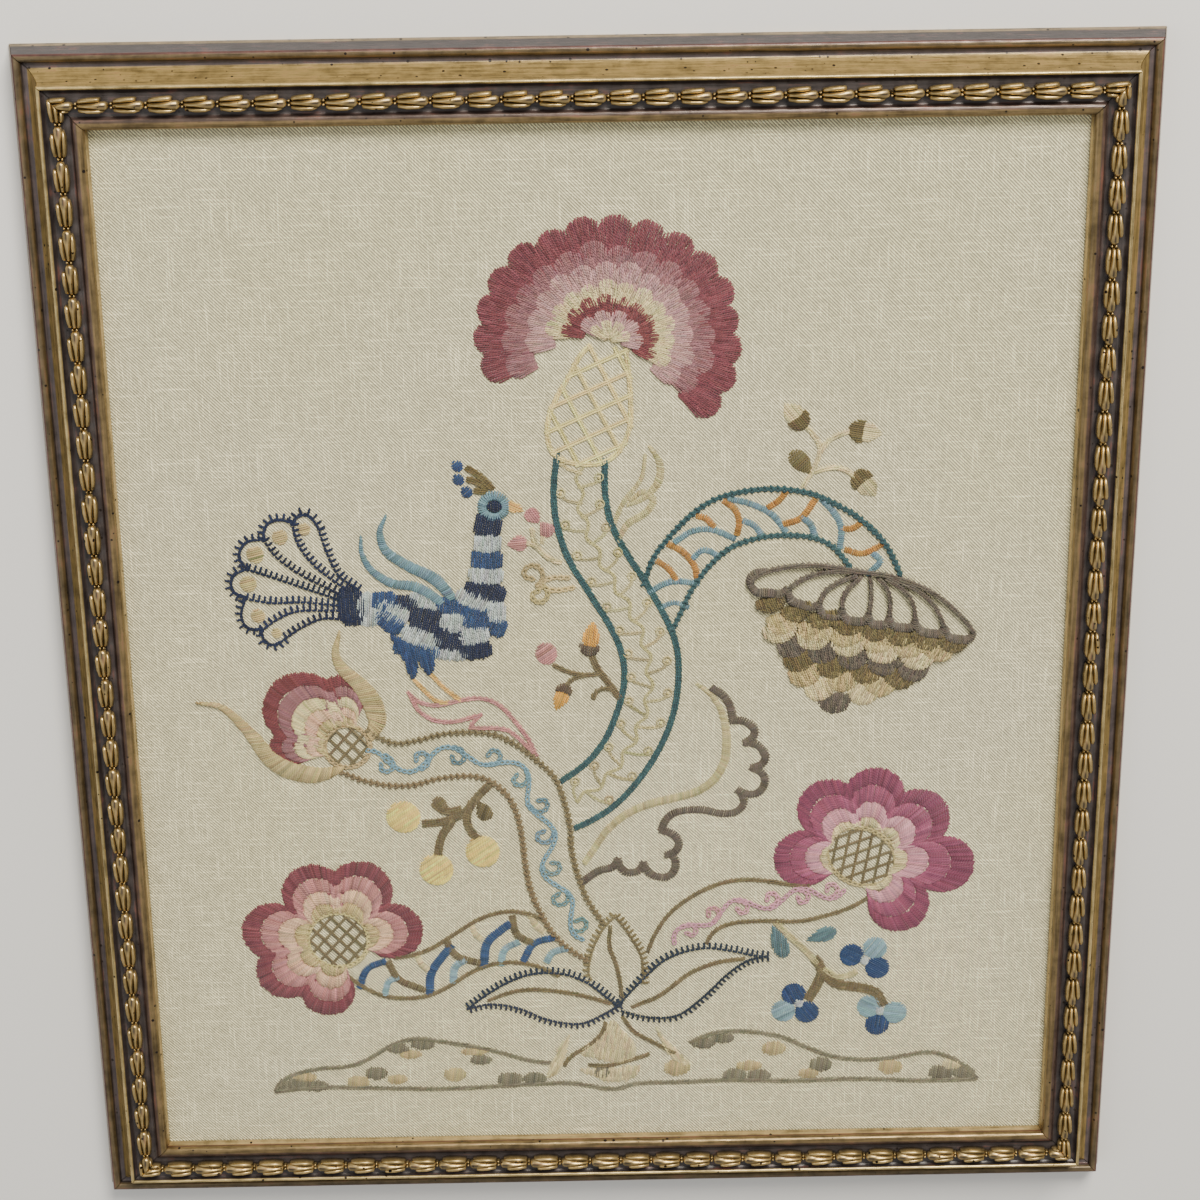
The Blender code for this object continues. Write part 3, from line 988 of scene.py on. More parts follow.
# The patches on the ground, by shade: their middles across and up, half lengths and half heights.
TUFTS = {
    "stone olive": (
        (-156, -216.2, 5.5, 2.8), (-150, -214.8, 5.5, 3.8), (-142, -216.5, 6.5, 3.2), (-112, -210, 5.5, 3.8),
        (-101, -196.5, 5.5, 3.0), (-89, -194.5, 6.0, 3.0), (-61, -203.5, 5.5, 3.0), (-47, -214.5, 6.5, 4.0),
        (-35, -214.5, 6.0, 3.8), (-2, -211.5, 4.5, 4.0), (47, -196.5, 6.0, 3.2), (56, -194, 6.0, 3.0),
        (62, -214.5, 6.0, 3.8), (74, -215, 6.0, 3.4), (104, -209.5, 5.5, 4.0), (163, -215, 6.5, 4.0),
        (174, -215, 5.5, 4.0),
    ),
    "gold cream": (
        (-147, -211.5, 6.0, 2.6), (-121, -214.5, 5.5, 3.4), (-102, -213.5, 5.0, 2.8), (-95, -200, 5.5, 2.6),
        (-74, -211.5, 5.5, 3.8), (-64, -199, 7.0, 2.2), (34, -210, 6.5, 4.4), (69, -209.5, 6.5, 2.8),
        (81, -200, 6.0, 4.0), (98, -214.5, 5.0, 2.8), (138, -211.5, 6.0, 4.0),
    ),
    "cream": (
        (168, -210.5, 5.0, 3.0),
    ),
}
ROOT_LINES = (
    ((0, -184), (-2, -190), (-9, -197), (-17, -202), (-21, -208)),
    ((8, -181), (13, -189), (22, -195), (34, -202)),
    ((-9, -207), (-1, -208), (8, -206), (21, -202)),
)
# The stitches' angle and the outline.
ROOT_FILL = (
    (80, ((3, -183), (9, -190), (14, -198), (12, -206), (2, -206), (-8, -203), (-13, -200), (-3, -191))),
    (60, ((-18, -191), (-22, -196), (-27, -206), (-29, -214), (-24, -212), (-20, -202))),
    (120, ((24, -187), (29, -194), (36, -202), (41, -208), (36, -208), (29, -200))),
    (85, ((-12, -210), (-8, -213), (0, -217), (12, -216), (16, -209), (6, -209))),
)


def work_foot_leaves(work):
    for leaf in (LEFT_LEAF, RIGHT_LEAF):
        blanket_line(work, smooth(leaf["upper"]), "dark slate", side=1)
        blanket_line(work, smooth(leaf["lower"]), "dark slate", side=-1)
        stem(work, leaf["rib"], "olive", 2)
    blanket_line(work, smooth(UPRIGHT_LEAF["left"]), "olive", side=-1)
    blanket_line(work, smooth(UPRIGHT_LEAF["right"]), "olive", side=1)
    stem(work, UPRIGHT_LEAF["rib"], "olive", 2)


def work_blue_sprig(work):
    for shade, rows, line in BLUE_SPRIG_STEMS:
        stem(work, line, shade, rows)
    satin_shape(work, drop((80, -133.5), (86, -151), 8.0), 95, "drop teal")
    satin_shape(work, drop((96, -142), (110.5, -136.5), 7.5), 25, "drop teal")
    for eye, petals in BLUE_FLOWERS:
        for shade, place in petals:
            out = np.array(place) - eye
            angle = math.degrees(math.atan2(out[1], out[0]))
            satin_shape(work, oval(place, BLUE_PETAL, BLUE_PETAL), angle, shade)
        satin_shape(work, oval(eye, 2.2, 2.2), 30, "pale grey blue", lift=0.5)


def work_ground(work):
    for angle, outline in ROOT_FILL:
        satin_shape(work, smooth(outline, closed=True), angle, "cream", ragged=0.8, longest=5.0)
    for line in GROUND_LINES:
        stem(work, line, "stone olive", 2)
    for line in ROOT_LINES:
        stem(work, line, "olive", 2)
    for shade, rows in TUFTS.items():
        for across, up, half, high in rows:
            satin_shape(work, oval((across, up), half, high, 90), 82, shade, ragged=0.5)


MOTIFS = {
    "wool_carnation": work_carnation,
    "wool_trunk": work_trunk,
    "wool_arched_branch": work_arched_branch,
    "wool_parasol_flower": work_parasol_flower,
    "wool_sprigs": work_sprigs,
    "wool_peacock_tail": work_peacock_tail,
    "wool_peacock": work_peacock,
    "wool_tulip": work_tulip,
    "wool_vine_branch": work_vine_branch,
    "wool_scalloped_leaf": work_scalloped_leaf,
    "wool_rose": work_rose,
    "wool_plum_flower": work_plum_flower,
    "wool_foot_leaves": work_foot_leaves,
    "wool_blue_sprig": work_blue_sprig,
    "wool_ground": work_ground,
}

# ---------------------------------------------------------------- working the wool with Geometry Nodes

STRAND_SIDES = 5
STRAND_FLATNESS = 0.85  # laid wool is wider than it is high


def mirrored(strand):
    return tuple((x, -y, z) for x, y, z in strand)


FINE_SIDE = ((-0.9, 0.0, 0.0), (-0.5, 0.42, 0.25), (0.3, 0.5, 0.3), (0.9, 0.2, 0.3), (1.1, 0.0, 0.1))
CHAIN_SIDE = ((-1.3, 0.0, 0.0), (-0.7, 0.72, 0.35), (0.5, 0.85, 0.45), (1.35, 0.25, 0.5), (1.7, 0.0, 0.2))
CORAL = (
    ((-0.9, 1.05, 0.1), (-0.3, 0.95, 0.75), (0.3, 0.35, 1.0), (0.3, -0.35, 1.0), (-0.2, -0.95, 0.75),
     (-0.8, -1.05, 0.1)),
    ((-0.5, 0.6, 0.3), (0.6, 0.2, 0.75), (1.7, 0.0, 0.4)),
)
BLANKET = (
    ((-1.0, 0.05, 0.35), (0.2, 0.0, 0.5), (1.0, -0.05, 0.35)),
    ((0.7, -0.1, 0.3), (0.75, 1.0, 0.4), (0.7, 2.2, 0.3), (0.7, 2.7, -0.4)),
)
# Each linked stitch: its pitch along the line and the strands of one link, x along the line, in millimetres.
LINKS = {
    "fine chain": {"pitch": 1.7, "thick": 0.6, "strands": (FINE_SIDE, mirrored(FINE_SIDE))},
    "chain": {"pitch": 2.5, "thick": STRAND, "strands": (CHAIN_SIDE, mirrored(CHAIN_SIDE))},
    "coral": {"pitch": 2.9, "thick": 1.3, "strands": CORAL},
    "blanket left": {"pitch": 2.5, "thick": 1.3, "strands": BLANKET},
    "blanket right": {"pitch": 2.5, "thick": 1.3, "strands": [mirrored(strand) for strand in BLANKET]},
}
UNEVENNESS = {"link": 0.08, "bud": 0.025}  # how far one differs in size from the next, as a share
LINK_SEED = 7


def placed(name, data):
    """A new object in the scene, for a mesh, a lamp or a camera."""
    made = bpy.data.objects.new(name, data)
    bpy.context.scene.collection.objects.link(made)
    return made


def new_tree(name, inputs):
    """A Geometry Nodes tree that takes a geometry and the named inputs, and gives a geometry."""
    tree = bpy.data.node_groups.new(name, "GeometryNodeTree")
    tree.interface.new_socket("Geometry", in_out="INPUT", socket_type="NodeSocketGeometry")
    for label, kind in inputs.items():
        tree.interface.new_socket(label, in_out="INPUT", socket_type=kind)
    tree.interface.new_socket("Geometry", in_out="OUTPUT", socket_type="NodeSocketGeometry")
    return tree


def laid_wool_tree():
    """Gives each line on the cloth the body of a strand, and stores its run and girth for the ply's twist."""
    tree = new_tree("laid wool", {
        "Width": "NodeSocketFloat", "Flatness": "NodeSocketFloat", "Sides": "NodeSocketInt",
        "Material": "NodeSocketMaterial",
    })
    given = node(tree, "NodeGroupInput")
    lines = node(tree, "GeometryNodeMeshToCurve", {"Mesh": given.outputs["Geometry"]})
    level = node(tree, "GeometryNodeSetCurveNormal", {"Curve": lines.outputs["Curve"]}, mode="Z_UP")
    length = node(tree, "GeometryNodeSplineParameter")
    measured = node(tree, "GeometryNodeStoreNamedAttribute", {
        "Geometry": level.outputs["Curve"], "Name": "run", "Value": length.outputs["Length"],
    }, data_type="FLOAT", domain="POINT")
    ring = node(tree, "GeometryNodeCurvePrimitiveCircle", {
        "Resolution": given.outputs["Sides"], "Radius": 0.5,
    })
    place = node(tree, "GeometryNodeInputPosition")
    marked = node(tree, "GeometryNodeStoreNamedAttribute", {
        "Geometry": ring.outputs["Curve"], "Name": "girth", "Value": place.outputs["Position"],
    }, data_type="FLOAT_VECTOR", domain="POINT")
    pressed = node(tree, "ShaderNodeCombineXYZ", {"X": 1.0, "Y": given.outputs["Flatness"], "Z": 1.0})
    oval_ring = node(tree, "GeometryNodeTransform", {
        "Geometry": marked.outputs["Geometry"], "Scale": pressed.outputs["Vector"],
    })
    thick = node(tree, "GeometryNodeInputNamedAttribute", {"Name": "thick"}, data_type="FLOAT")
    width = node(tree, "ShaderNodeMath", {
        0: thick.outputs["Attribute"], 1: given.outputs["Width"],
    }, operation="MULTIPLY")
    strands = node(tree, "GeometryNodeCurveToMesh", {
        "Curve": measured.outputs["Geometry"], "Profile Curve": oval_ring.outputs["Geometry"],
        "Scale": width.outputs["Value"], "Fill Caps": True,
    })
    soft = node(tree, "GeometryNodeSetShadeSmooth", {"Geometry": strands.outputs["Mesh"]})
    finish_tree(tree, soft.outputs["Geometry"], given.outputs["Material"])
    return tree


def linked_stitch_tree():
    """Sets one link after another along each line, turned to it, none quite like the next."""
    tree = new_tree("linked stitches", {
        "Link": "NodeSocketObject", "Pitch": "NodeSocketFloat", "Unevenness": "NodeSocketFloat",
        "Material": "NodeSocketMaterial",
    })
    given = node(tree, "NodeGroupInput")
    lines = node(tree, "GeometryNodeMeshToCurve", {"Mesh": given.outputs["Geometry"]})
    even = node(tree, "GeometryNodeResampleCurve", {
        "Curve": lines.outputs["Curve"], "Length": given.outputs["Pitch"],
    }, mode="LENGTH")
    link = node(tree, "GeometryNodeObjectInfo", {"Object": given.outputs["Link"]})
    forward = node(tree, "GeometryNodeInputTangent")
    heading = node(tree, "FunctionNodeAlignRotationToVector", {
        "Vector": forward.outputs["Tangent"],
    }, axis="X", pivot_axis="Z")
    least = node(tree, "ShaderNodeMath", {0: 1.0, 1: given.outputs["Unevenness"]}, operation="SUBTRACT")
    most = node(tree, "ShaderNodeMath", {0: 1.0, 1: given.outputs["Unevenness"]}, operation="ADD")
    size = node(tree, "FunctionNodeRandomValue", {
        "Min": least.outputs["Value"], "Max": most.outputs["Value"], "Seed": LINK_SEED,
    }, data_type="FLOAT")
    links = node(tree, "GeometryNodeInstanceOnPoints", {
        "Points": even.outputs["Curve"], "Instance": link.outputs["Geometry"],
        "Rotation": heading.outputs["Rotation"], "Scale": size.outputs["Value"],
    })
    finish_tree(tree, links.outputs["Instances"], given.outputs["Material"])
    return tree


def finish_tree(tree, geometry, material):
    """Ends a tree: real faces in place of instances, with their material."""
    real = node(tree, "GeometryNodeRealizeInstances", {"Geometry": geometry})
    coated = node(tree, "GeometryNodeSetMaterial", {
        "Geometry": real.outputs["Geometry"], "Material": material,
    })
    node(tree, "NodeGroupOutput", {"Geometry": coated.outputs["Geometry"]})


def grown(mesh, tree, **values):
    """The plain mesh that a tree makes from a mesh, with the values given to its named inputs."""
    carrier = placed("carrier", mesh)
    working = carrier.modifiers.new("working", "NODES")
    working.node_group = tree
    for socket in tree.interface.items_tree:
        if socket.in_out == "INPUT" and socket.name in values:
            working[socket.identifier] = values[socket.name]
    graph = bpy.context.evaluated_depsgraph_get()
    made = carrier.evaluated_get(graph)
    result = bpy.data.meshes.new_from_object(made, preserve_all_data_layers=True, depsgraph=graph)
    bpy.data.objects.remove(carrier)
    return result


def line_mesh(lines):
    """A mesh of bare lines. Each is (points in millimetres over the cloth, colour or None, thickness)."""
    mesh = bpy.data.meshes.new("lines")
    counts = [len(points) for points, _, _ in lines]
    places = np.vstack([points for points, _, _ in lines]) * MM
    ends = np.cumsum(counts)
    edges = [(i, i + 1) for start, end in zip(ends - counts, ends) for i in range(start, end - 1)]
    mesh.from_pydata(places.tolist(), edges, [])
    thick = np.repeat([thickness for _, _, thickness in lines], counts)
    mesh.attributes.new("thick", "FLOAT", "POINT").data.foreach_set("value", thick)
    if lines[0][1] is not None:
        colours = np.repeat([colour for _, colour, _ in lines], counts, axis=0)
        mesh.attributes.new("wool", "FLOAT_COLOR", "POINT").data.foreach_set("color", colours.ravel())
    return mesh


def on_cloth(line):
    """Points in the plane of the cloth's face, from the design's points across and up it."""
    return np.column_stack([line + DESIGN_PLACE[:2], np.full(len(line), DESIGN_PLACE[2])])


def joined(name, meshes):
    """One object of several meshes, which keep their attributes."""
    parts = [placed(name if i == 0 else f"{name}_{i}", mesh) for i, mesh in enumerate(meshes)]
    if len(parts) > 1:
        with bpy.context.temp_override(active_object=parts[0], selected_editable_objects=parts):
            bpy.ops.object.join()
    return parts[0]


def laid_strands(strands, laid, wool):
    """The wool of some strands: rows of points, colour or None, and thickness."""
    settings = {"Width": MM, "Flatness": STRAND_FLATNESS, "Sides": STRAND_SIDES, "Material": wool}
    return grown(line_mesh(strands), laid, **settings)


def make_links(laid, wool):
    """One object for each kind of link, for the stitches to be set from."""
    made = {}
    for kind, link in LINKS.items():
        strands = [(np.array(points), None, link["thick"]) for points in link["strands"]]
        made[kind] = bpy.data.objects.new("link_" + kind.replace(" ", "_"), laid_strands(strands, laid, wool))
    return made


def work_motifs(wool):
    """Every motif as one piece of wool on the cloth."""
    laid, linked = laid_wool_tree(), linked_stitch_tree()
    links = make_links(laid, wool)
    for name, motif in MOTIFS.items():
        work = Needlework(name)
        motif(work)
        strands = [(points + DESIGN_PLACE, colour, thickness) for points, colour, thickness in work.strands]
        meshes = [laid_strands(strands, laid, wool)]
        for kind, rows in work.lines.items():
            paths = line_mesh([(on_cloth(line), colour, 1.0) for line, colour in rows])
            settings = {"Link": links[kind], "Pitch": LINKS[kind]["pitch"] * MM, "Material": wool}
            meshes.append(grown(paths, linked, Unevenness=UNEVENNESS["link"], **settings))
        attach(joined(name, meshes), BODY)
    for link in links.values():
        bpy.data.objects.remove(link)


# ---------------------------------------------------------------- materials


def new_material(name):
    material = bpy.data.materials.new(name)
    material.use_nodes = True
    material.node_tree.nodes.clear()
    return material, material.node_tree


def shade_with(tree, height, distance, **inputs):
    """Ends a material: a Principled shader with a bump from height, distance deep at most."""
    settings = {key.replace("_", " "): value for key, value in inputs.items()}
    if height is not None:
        bump = node(tree, "ShaderNodeBump", {"Height": height, "Distance": distance})
        settings["Normal"] = bump.outputs["Normal"]
    shader = node(tree, "ShaderNodeBsdfPrincipled", settings)
    node(tree, "ShaderNodeOutputMaterial", {"Surface": shader.outputs["BSDF"]})
    return shader


# In millimetres: the strand to one turn of its plies, patches of uneven dye, and the fuzz of hairs, which is
# drawn coarser than real so that it shows.
PLY_TURN, DYE_PATCH, HAIR = 2.4, 2.5, 0.22


def crewel_wool():
    """Worsted wool, two plies, dyed in the skein and laid by hand: matt, with a little bloom where fibres
    stand up, the plies winding round each strand with painted shade between them, and the dye a touch
    uneven along it."""
    material, tree = new_material("crewel_wool_two_ply_dyed")
    wool = node(tree, "ShaderNodeAttribute", attribute_name="wool")
    run = node(tree, "ShaderNodeAttribute", attribute_name="run")
    girth = node(tree, "ShaderNodeAttribute", attribute_name="girth")
    side = node(tree, "ShaderNodeSeparateXYZ", {"Vector": girth.outputs["Vector"]})
    turn = node(tree, "ShaderNodeMath", {0: side.outputs["Y"], 1: side.outputs["X"]}, operation="ARCTAN2")
    plies = node(tree, "ShaderNodeMath", {0: turn.outputs[0], 1: 2.0}, operation="MULTIPLY")
    wound = node(tree, "ShaderNodeMath", {
        0: run.outputs["Fac"], 1: 2 * math.tau / (PLY_TURN * MM), 2: plies.outputs[0],
    }, operation="MULTIPLY_ADD")
    twist = node(tree, "ShaderNodeMath", {0: wound.outputs[0]}, operation="SINE")
    place = node(tree, "ShaderNodeTexCoord")
    uneven = node(tree, "ShaderNodeTexNoise", {
        "Vector": place.outputs["Object"], "Scale": 1 / (DYE_PATCH * MM), "Detail": 3.0,
    })
    hair = node(tree, "ShaderNodeTexNoise", {
        "Vector": place.outputs["Object"], "Scale": 1 / (HAIR * MM), "Detail": 2.0,
    })
    dye = node(tree, "ShaderNodeMapRange", {
        "Value": uneven.outputs["Fac"], "From Min": 0.3, "From Max": 0.7, "To Min": 0.86, "To Max": 1.14,
    })
    # Painted shade: the colour darkens in the grooves between the plies.
    ply_painted_shade = node(tree, "ShaderNodeMapRange", {
        "Value": twist.outputs[0], "From Min": -1.0, "From Max": 0.2, "To Min": 0.78, "To Max": 1.0,
    })
    depth = node(tree, "ShaderNodeMath", {0: dye.outputs[0], 1: ply_painted_shade.outputs[0]}, operation="MULTIPLY")
    colour = node(tree, "ShaderNodeVectorMath", {
        0: wool.outputs["Color"], "Scale": depth.outputs[0],
    }, operation="SCALE")
    relief = node(tree, "ShaderNodeMath", {
        0: hair.outputs["Fac"], 1: 0.5, 2: twist.outputs[0],
    }, operation="MULTIPLY_ADD")
    shade_with(tree, relief.outputs[0], 0.12 * MM, Base_Color=colour.outputs["Vector"], Roughness=0.92,
               Specular_IOR_Level=0.15, Sheen_Weight=0.25, Sheen_Roughness=0.5)
    return material


LINEN_PITCH = 0.58  # millimetres from thread to thread
TWILL_PITCH = 1.55  # millimetres between the twill's diagonal lines, measured across the cloth
SLUB_LONG, SLUB_WEFT, SLUB_WARP = 22.0, 0.9, 0.7  # a slub's length, and its width each way
LOOSE_PATCH, YELLOWED = 2.2, 120  # the size of loose places in the weave, and of patches that have yellowed


def waves(tree, value, pitch):
    """A ripple from -1 to 1 that repeats every pitch millimetres of value, which is in metres."""
    scaled = node(tree, "ShaderNodeMath", {0: value, 1: math.tau / (pitch * MM)}, operation="MULTIPLY")
    return node(tree, "ShaderNodeMath", {0: scaled.outputs[0]}, operation="SINE").outputs[0]


def streaks(tree, place, long, thin):
    """Noise drawn out into threads: long and thin are sizes in millimetres, along X and along Y."""
    size = (1 / (long * MM), 1 / (thin * MM), 1.0)
    drawn = node(tree, "ShaderNodeMapping", {"Vector": place, "Scale": size}).outputs["Vector"]
    return node(tree, "ShaderNodeTexNoise", {"Vector": drawn, "Scale": 1.0, "Detail": 2.0}).outputs["Fac"]


def linen_twill():
    """Natural flax, wet spun and woven as a twill, stretched and unbleached: matt oatmeal with faint diagonal
    lines and the threads' ups and downs drawn as painted shade, thick and thin threads both ways, and broad
    soft patches where it has yellowed."""
    material, tree = new_material("flax_linen_twill_woven")
    place = node(tree, "ShaderNodeTexCoord").outputs["Object"]
    at = node(tree, "ShaderNodeSeparateXYZ", {"Vector": place})
    diagonal = node(tree, "ShaderNodeMath", {0: at.outputs["X"], 1: at.outputs["Y"]}, operation="ADD")
    twill = waves(tree, diagonal.outputs[0], TWILL_PITCH)
    weft = waves(tree, at.outputs["Y"], LINEN_PITCH)
    warp = waves(tree, at.outputs["X"], LINEN_PITCH)
    threads = node(tree, "ShaderNodeMath", {0: weft, 1: warp}, operation="MULTIPLY")
    relief = node(tree, "ShaderNodeMath", {0: twill, 1: 1.0, 2: threads.outputs[0]}, operation="MULTIPLY_ADD")
    wefts = streaks(tree, place, SLUB_LONG, SLUB_WEFT)
    warps = streaks(tree, place, SLUB_WARP, SLUB_LONG)
    slubs = node(tree, "ShaderNodeMath", {0: wefts, 1: warps}, operation="MAXIMUM")
    slub_tone = node(tree, "ShaderNodeMapRange", {
        "Value": slubs.outputs[0], "From Min": 0.56, "From Max": 0.78, "To Min": 0.92, "To Max": 1.6,
    })
    # Painted shade and light: the colour darkens where the weave lies low and lightens where threads stand
    # up.
    weave_painted_shade = node(tree, "ShaderNodeMapRange", {
        "Value": relief.outputs[0], "From Min": -0.9, "From Max": 0.9, "To Min": 0.25, "To Max": 1.45,
    })
    tone = node(tree, "ShaderNodeMath", {
        0: slub_tone.outputs[0], 1: weave_painted_shade.outputs[0],
    }, operation="MULTIPLY")
    loose = node(tree, "ShaderNodeTexNoise", {
        "Vector": place, "Scale": 1 / (LOOSE_PATCH * MM), "Detail": 3.0, "Roughness": 0.7,
    })
    loose_tone = node(tree, "ShaderNodeMapRange", {
        "Value": loose.outputs["Fac"], "From Min": 0.3, "From Max": 0.7, "To Min": 0.8, "To Max": 1.14,
    })
    woven = node(tree, "ShaderNodeMath", {0: tone.outputs[0], 1: loose_tone.outputs[0]}, operation="MULTIPLY")
    broad = node(tree, "ShaderNodeTexNoise", {"Vector": place, "Scale": 1 / (YELLOWED * MM), "Detail": 2.0})
    cloth = node(tree, "ShaderNodeMix", {
        "Factor": broad.outputs["Fac"], "A": linear("#f3eab6"), "B": linear("#f6eec8"),
    }, data_type="RGBA")
    colour = node(tree, "ShaderNodeVectorMath", {
        0: cloth.outputs["Result"], "Scale": woven.outputs[0],
    }, operation="SCALE")
    height = node(tree, "ShaderNodeMath", {
        0: slubs.outputs[0], 1: 2.5, 2: relief.outputs[0],
    }, operation="MULTIPLY_ADD")
    shade_with(tree, height.outputs[0], 0.11 * MM, Base_Color=colour.outputs["Vector"], Roughness=0.9,
               Specular_IOR_Level=0.2, Sheen_Weight=0.1)
    return material


# In millimetres: the toner's mottling, the length and width of rubbed streaks and of brush marks, and how far
# apart the flicked spots lie.
MOTTLE, RUBBED, BRUSHED, SPECKS = 7, (26.0, 1.3), (9.0, 0.45), 4.2


def toned_leaf():
    """Metal leaf laid over red bole on gesso, then toned with umber and waxed: satin gold on what stands up,
    brown-black in the hollows, red where the leaf is rubbed, and small dark spots flicked on."""
    material, tree = new_material("metal_leaf_over_bole_toned")
    tone = node(tree, "ShaderNodeAttribute", attribute_name="tone")
    leaf = node(tree, "ShaderNodeAttribute", attribute_name="leaf")
    lay = node(tree, "ShaderNodeAttribute", attribute_name="lay").outputs["Vector"]
    place = node(tree, "ShaderNodeTexCoord").outputs["Object"]
    mottle = node(tree, "ShaderNodeTexNoise", {
        "Vector": place, "Scale": 1 / (MOTTLE * MM), "Detail": 5.0, "Roughness": 0.65,
    })
    rubbed = streaks(tree, lay, *RUBBED)
    brushed = streaks(tree, lay, *BRUSHED)
    wear = node(tree, "ShaderNodeMath", {0: rubbed, 1: mottle.outputs["Fac"]}, operation="ADD")
    bole = node(tree, "ShaderNodeMapRange", {
        "Value": wear.outputs[0], "From Min": 1.12, "From Max": 1.34, "To Min": 0.0, "To Max": 0.55,
    })
    red = node(tree, "ShaderNodeMix", {
        "Factor": bole.outputs[0], "A": tone.outputs["Color"], "B": linear("#6e3f33"),
    }, data_type="RGBA")
    umber = node(tree, "ShaderNodeMapRange", {
        "Value": wear.outputs[0], "From Min": 0.72, "From Max": 1.2, "To Min": 0.42, "To Max": 1.2,
    })
    toned = node(tree, "ShaderNodeVectorMath", {
        0: red.outputs["Result"], "Scale": umber.outputs[0],
    }, operation="SCALE")
    specks = node(tree, "ShaderNodeTexVoronoi", {"Vector": place, "Scale": 1 / (SPECKS * MM)})
    size = node(tree, "ShaderNodeMath", {0: specks.outputs["Color"], 1: 0.2}, operation="MULTIPLY")
    speck = node(tree, "ShaderNodeMath", {
        0: specks.outputs["Distance"], 1: size.outputs[0],
    }, operation="LESS_THAN")
    colour = node(tree, "ShaderNodeMix", {
        "Factor": speck.outputs[0], "A": toned.outputs["Vector"], "B": linear("#241c17"),
    }, data_type="RGBA")
    kept = node(tree, "ShaderNodeMath", {0: 1.0, 1: bole.outputs[0]}, operation="SUBTRACT")
    metal = node(tree, "ShaderNodeMath", {0: leaf.outputs["Fac"], 1: kept.outputs[0]}, operation="MULTIPLY")
    rough = node(tree, "ShaderNodeMapRange", {
        "Value": brushed, "From Min": 0.3, "From Max": 0.7, "To Min": 0.24, "To Max": 0.46,
    })
    grain = node(tree, "ShaderNodeMath", {
        0: brushed, 1: 0.6, 2: mottle.outputs["Fac"],
    }, operation="MULTIPLY_ADD")
    shade_with(tree, grain.outputs[0], 0.12 * MM, Base_Color=colour.outputs["Result"],
               Metallic=metal.outputs[0], Roughness=rough.outputs[0])
    return material


def studio_paper():
    """Matt seamless paper, smooth and pale: it gives only a soft shadow under the frame."""
    material, tree = new_material("seamless_paper_matt")
    place = node(tree, "ShaderNodeTexCoord").outputs["Object"]
    soft = node(tree, "ShaderNodeTexNoise", {"Vector": place, "Scale": 3.0, "Detail": 2.0})
    colour = node(tree, "ShaderNodeMix", {
        "Factor": soft.outputs["Fac"], "A": linear("#e6e4de"), "B": linear("#eae8e4"),
    }, data_type="RGBA")
    shade_with(tree, None, 0.0, Base_Color=colour.outputs["Result"], Roughness=0.85)
    return material


# ---------------------------------------------------------------- gilt moulding

# The moulding's section, run by run from the outer back arris: where each run ends (across from the outer
# edge, height from the back), how far it swells, its tone and how much leaf it keeps. Millimetres.
SECTION_START = (0.8, 0.0)
SECTION = (
    (0.0, 0.9, 0.0, "#c6b083", 0.6),
    (1.0, 3.2, 0.0, "#8d7c60", 0.4),
    (3.1, 12.6, 0.0, "#30282b", 0.1),
    (3.9, 13.5, 0.15, "#54322c", 0.2),
    (6.7, 12.0, 0.85, "#6c5d43", 0.5),
    (7.0, 10.9, 0.0, "#423a37", 0.1),
    (9.2, 10.9, 0.0, "#544a49", 0.1),
    (14.9, 26.0, -1.8, "#a68d57", 0.45),
    (16.5, 26.0, 0.5, "#c9b27a", 0.85),
    (18.2, 23.9, -0.3, "#3a3230", 0.1),
    (28.0, 23.7, -0.2, "#4a4341", 0.1),
    (29.0, 25.4, -0.2, "#4f403b", 0.2),
    (30.6, 25.8, 0.0, "#56443a", 0.3),
    (33.8, 23.6, 1.0, "#84704c", 0.7),
    (33.4, 22.2, 0.0, "#5c3428", 0.1),
    (34.2, 18.8, 0.4, "#b9a171", 0.5),
    (28.5, 18.8, 0.0, "#7a6247", 0.0),
    (28.5, 0.0, 0.0, "#8c7355", 0.0),
    (0.8, 0.0, 0.0, "#94795a", 0.0),
)
RUN_STEPS = 5
ARRIS = 0.28  # the soft edge that gesso leaves on every arris
STATION = 9.0  # millimetres between the rail's cross-sections
MITRE_GAP = 0.0003
SHARP_ANGLE = 50
HAND_PATCH, HAND_DEPTH = 60, 0.12  # unevenness: patches to the metre, and its depth in millimetres
BACK_EDGE = 2  # millimetres over the back that stay true
BED_LINE = 23.1  # the middle of the ornament bed, across
BED_HEIGHT = 23.7
BUD_PITCH = 14.5


def section_points():
    """The section's outline with eased corners, as rows of across, height, way round, tone and leaf."""
    rows, here, way = [], np.array(SECTION_START), 0.0
    for across, height, bow, tone, leaf in SECTION:
        end = np.array((across, height))
        chord = end - here
        length = np.linalg.norm(chord)
        side = np.array([-chord[1], chord[0]]) / length
        steps = RUN_STEPS if bow else 1
        ease = min(ARRIS / length, 0.25)
        for t in np.linspace(ease, 1 - ease, steps + 1):
            spot = here + chord * t + side * bow * 4 * t * (1 - t)
            rows.append((*spot, way + t * length, *linear(tone)[:3], leaf))
        here, way = end, way + length
    return np.array(rows)


def finish_attributes(mesh, tone, leaf, lay):
    """Stores what the gilding reads: the tone under the leaf, how much leaf is left and where it was laid."""
    tones = np.column_stack([tone, np.ones(len(tone))])
    mesh.attributes.new("tone", "FLOAT_COLOR", "POINT").data.foreach_set("color", tones.ravel())
    mesh.attributes.new("leaf", "FLOAT", "POINT").data.foreach_set("value", leaf)
    mesh.attributes.new("lay", "FLOAT_VECTOR", "POINT").data.foreach_set("vector", lay.ravel())


